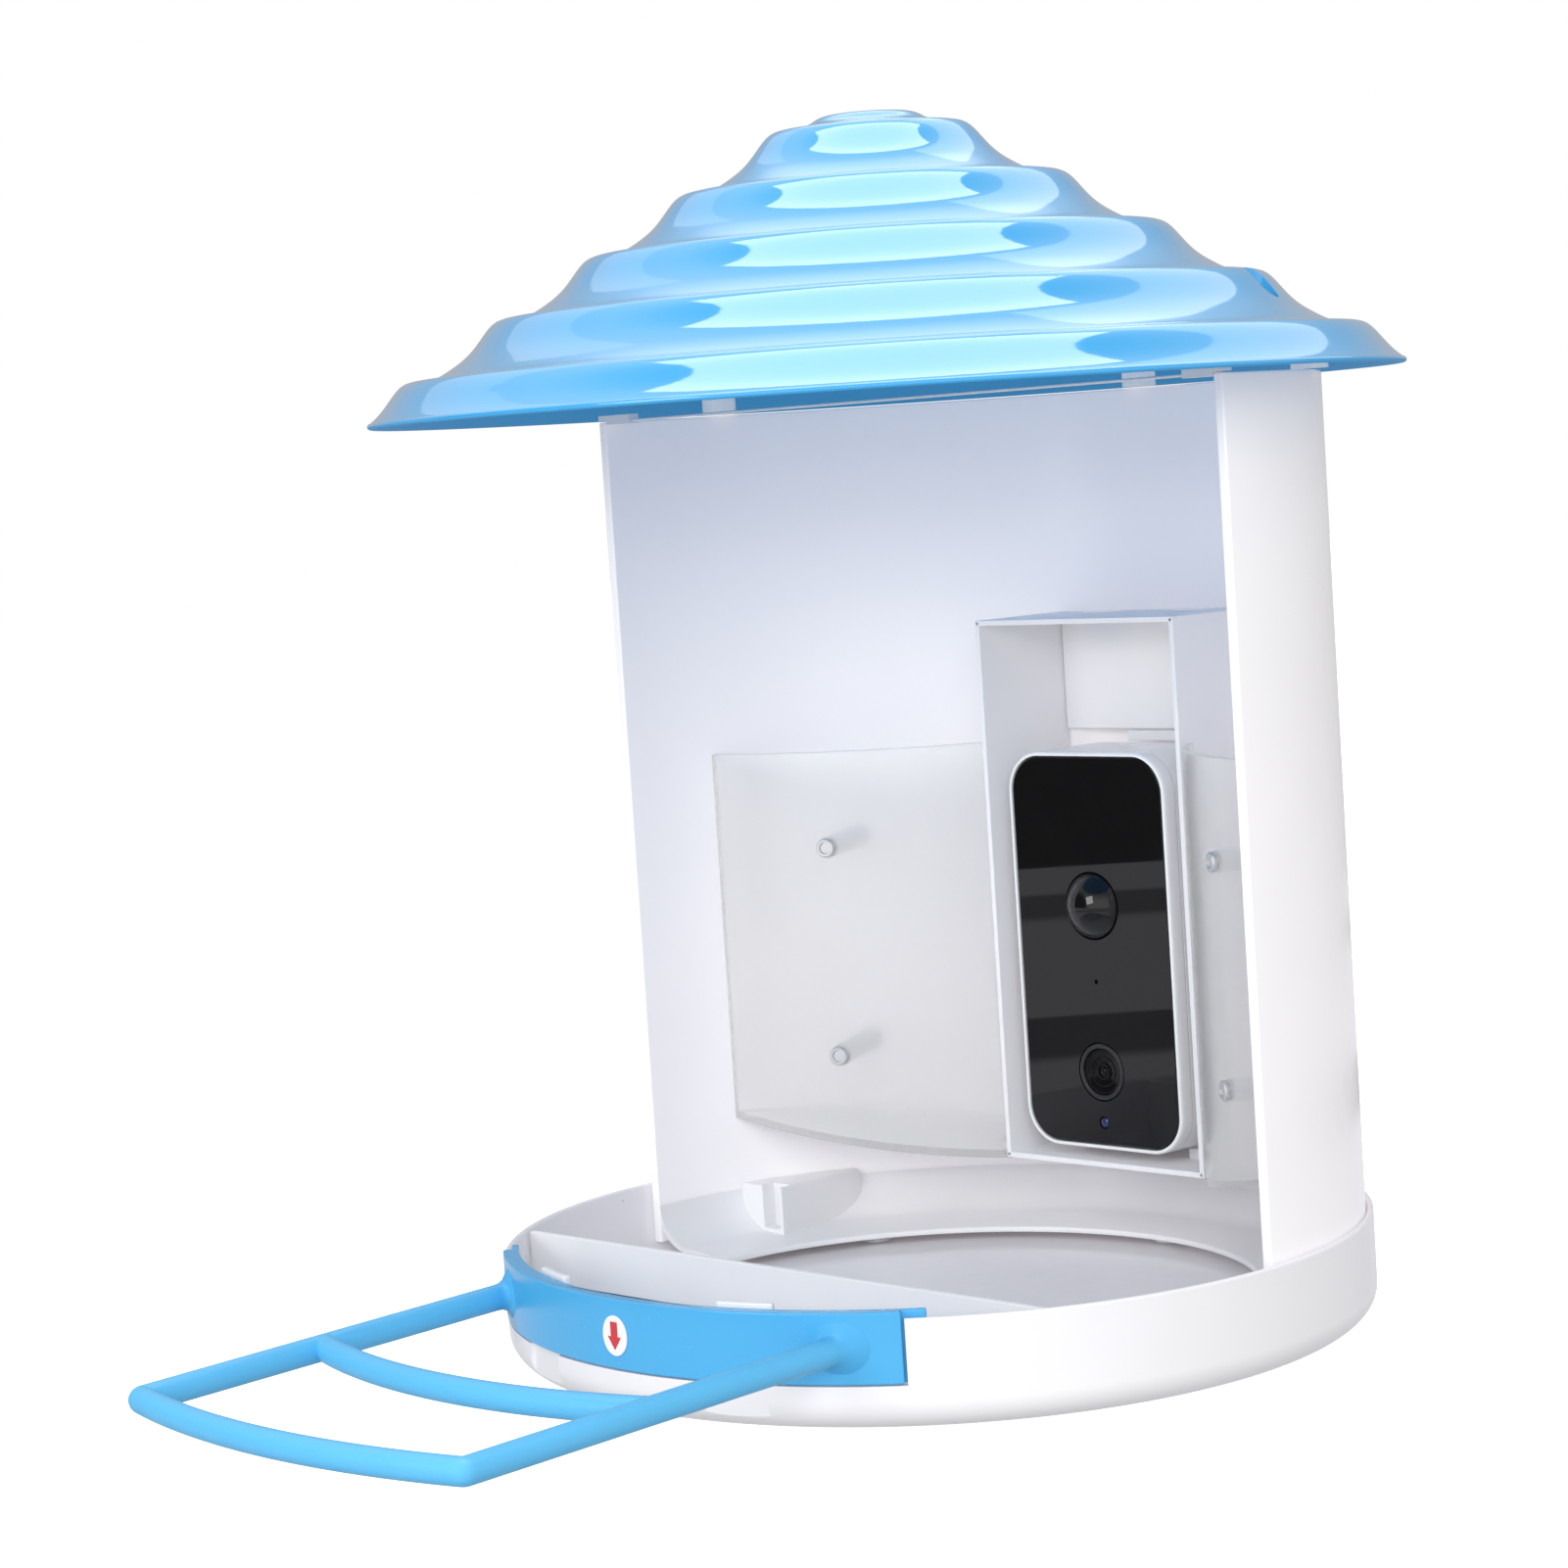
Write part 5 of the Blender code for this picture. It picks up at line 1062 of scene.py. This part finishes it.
# %% Kept solids
kept = ((screw_steel, "screw_steel", "base_screw_1 base_screw_2 base_screw_3"),
        (sensor_steel, "sensor_steel", "motion_sensor microphone"),
        (board_green, "board_green", "circuit_board"),
        (cell_sleeve, "cell_sleeve", "battery_cell_1 battery_cell_2"),
        (part_dark, "part_dark", "lens_barrel image_sensor speaker"),
        (lens_dark, "lens_dark", "lens_eye"),
        (trim_white, "trim_white", "flange_post_1 flange_post_2 flange_post_3"),
        (trim_white, "trim_white", "corner_lug_left corner_lug_right"),
        (wire_white, "wire_white", "stay_wire"),
        (stud_clear, "stud_clear", "roof_stud_1 roof_stud_2 roof_stud_3"),
        (pin_frosted, "bin_frosted", "bin_pin_left_1 bin_pin_left_2 bin_pin_right_1 bin_pin_right_2"))
for material, slot_name, names in kept:
    for name in names.split():
        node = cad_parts[name]
        node.data.materials.clear()
        node.data.materials.append(material)
print("kept solids:", sum(len(names.split()) for _, _, names in kept))

# %% [markdown]
# ## Floor and light
# The picture is a cut-out on white. A white floor is easy, but the black glass in front shows
# what the studio was: a pale table with darker bands, and darkness behind it. So the floor comes
# as two flat pieces. One is bright and only the camera sees it. The other, just below, is a round
# pale table with two dark rings, and only reflections see it.

# %% Floor
def unseen(thing, *rays):
    """Hide an object from some kinds of rays."""
    for kind in rays:
        setattr(thing, "visible_" + kind, False)
    return thing


def flat_disc(name, radius, height, material, steps=96):
    """A flat round face: (r cos a, r sin a) at one height."""
    edge = np.insert(arc(radius, 0, TURN, steps)[:-1], 2, height, 1)
    disc = finish_mesh(name, edge, [list(range(steps))])
    disc.data.materials.append(material)
    return disc


floor_pale = finish_of("floor_pale", {"IOR": 1.3, **glow(0.75)}, lambda board: {
    "Base Color": board.blend(board.noise(3), (0.90, 0.90, 0.90, 1), (0.92, 0.92, 0.92, 1)),
    "Roughness": 0.8 + 0.1 * board.noise(5)})
FLOOR_RADIUS, FLOOR_HEIGHT = 6, -0.0004
unseen(flat_disc("floor", FLOOR_RADIUS, FLOOR_HEIGHT, floor_pale),
       "glossy", "diffuse", "transmission", "shadow")
print("floor", 2 * FLOOR_RADIUS, "m across")

# %% Mirrored table
def mirrored_table(board):
    """What the black glass mirrors: a pale table with two dark rings, softer on the near side."""
    reach = board.vector("LENGTH", board.place())
    near_ring = reach.between(0.262, 0.285) * (1 - reach.between(0.355, 0.362))
    far_ring = reach.between(0.600, 0.630) * (1 - reach.between(0.690, 0.705))
    return {"Base Color": board.blend(board.noise(5), (0.10, 0.10, 0.11, 1), (0.13, 0.13, 0.14, 1)),
            "Emission Color": board.blend(near_ring * 0.9 + far_ring * 0.8, (0.72, 0.71, 0.76, 1),
                                          (0.06, 0.05, 0.06, 1)),
            "Roughness": 0.8 + 0.1 * board.noise(5)}


table_pale = finish_of("table_pale", {"IOR": 1.3, "Emission Strength": 0.90, "Specular IOR Level": 0.0},
                       mirrored_table)
TABLE_RADIUS, TABLE_HEIGHT = 0.80, -0.0015
unseen(flat_disc("table", TABLE_RADIUS, TABLE_HEIGHT, table_pale),
       "camera", "diffuse", "transmission", "shadow")
print("table", 2 * TABLE_RADIUS, "m across")

# %% [markdown]
# The lights are found from what they leave on the shiny parts. A wide softbox hangs over the
# feeder and makes the bright band on the steep side of each ripple. Two dimmer ones behind it make
# the pale patches at the roof's left and right. A small one in front lights the room under the
# roof and is the white spot on the dome, and a large soft one beside the camera fills the shade.
# A softbox that is right for the glints would bleach the blue, so two of those named glint only
# show in reflections and the one above has a dimmer twin for soft light. The one at the back
# right does both. Directions are parts to the picture's right, towards the camera and up.

# %% Lights
HEART = (0, 0, 0.12)
towards = np.array([math.sin(AZIMUTH), -math.cos(AZIMUTH), 0])
up = np.array([0, 0, 1.0])


def softbox(name, to_the_right, to_the_front, upwards, distance, width, height, brightness):
    """An area light that faces the feeder's middle; its power is brightness * pi * its area."""
    back = unit(to_the_right * to_right + to_the_front * towards + upwards * up)
    side = unit(to_right - back * np.dot(to_right, back))
    data = bpy.data.lights.new(name, "AREA")
    data.shape, data.size, data.size_y = "RECTANGLE", width, height
    data.energy = brightness * math.pi * width * height
    lamp = placed(name, data, (side, np.cross(back, side), back), HEART + distance * back)
    return unseen(lamp, "camera")


unseen(softbox("light_above", 0.0, 0.08, 1, 1.2, 1.10, 0.80, 1.35), "glossy")
unseen(softbox("glint_above", 0.0, 0.08, 1, 1.17, 1.08, 0.78, 4.1), "diffuse")
unseen(softbox("glint_back_left", -0.48, -0.64, 0.60, 1.3, 0.50, 0.50, 0.3), "diffuse")
softbox("glint_back_right", 0.55, -0.45, 0.70, 1.3, 0.95, 0.65, 0.9)
softbox("light_front", -0.75, 0.60, 0.27, 1.3, 0.50, 0.50, 5.0)
unseen(softbox("light_fill", -0.10, 1, 0.46, 1.6, 0.90, 0.90, 4.0), "glossy")
print(len(bpy.data.lights), "softboxes")

# %% [markdown]
# Around the softboxes is a soft studio, written as a brightness for each direction. In front it is
# paler on the feeder's open side and dims towards the ceiling. Behind, it grows with height, with
# a soft glow straight behind the feeder, which the flat sides of the ripples show. Below it is
# dim, and to the left of the camera, where the black glass looks, it is dark. The camera itself
# sees plain white.

# %% World
world = bpy.data.worlds.new("studio")
bpy.context.scene.world = world
world.use_nodes = True
sky = Board(world.node_tree)
ray = sky.node("ShaderNodeTexCoord", output="Generated")


def share(direction):
    """How far a ray points along a direction: their dot product."""
    return sky.vector("DOT_PRODUCT", ray, tuple(float(part) for part in direction))


height = share(up)
ceiling = height.between(0.15, 0.85)
behind = share(-towards).between(-0.1, 0.4)
open_side = share((0, -1, 0)).between(0.1, 0.9) * (1 - height.between(0.3, 0.6))
below = 1 - height.between(-0.78, -0.35)
dark = share((-0.67, -0.74, 0)).between(0.80, 0.94) * height.between(-0.14, -0.13)
front_part = 0.86 + 0.30 * open_side - 0.55 * ceiling
back_glow = share(0.03 * to_right - 0.70 * towards + 0.71 * up).between(0.94, 0.99)
back_part = 0.44 + 0.75 * height.between(0.35, 0.85) + 0.75 * back_glow
studio = (front_part + behind * (back_part - front_part)) * (1 - 0.72 * below) * (1 - 0.95 * dark)
seen = sky.node("ShaderNodeLightPath", output="Is Camera Ray")
sky.node("ShaderNodeOutputWorld", {}, {"Surface": sky.node(
    "ShaderNodeBackground", {}, {"Color": (1, 1, 1, 1), "Strength": seen + (1 - seen) * studio})})
bpy.context.scene.view_settings.view_transform = "Standard"
bpy.context.scene.view_settings.look = "None"
print("world ready")
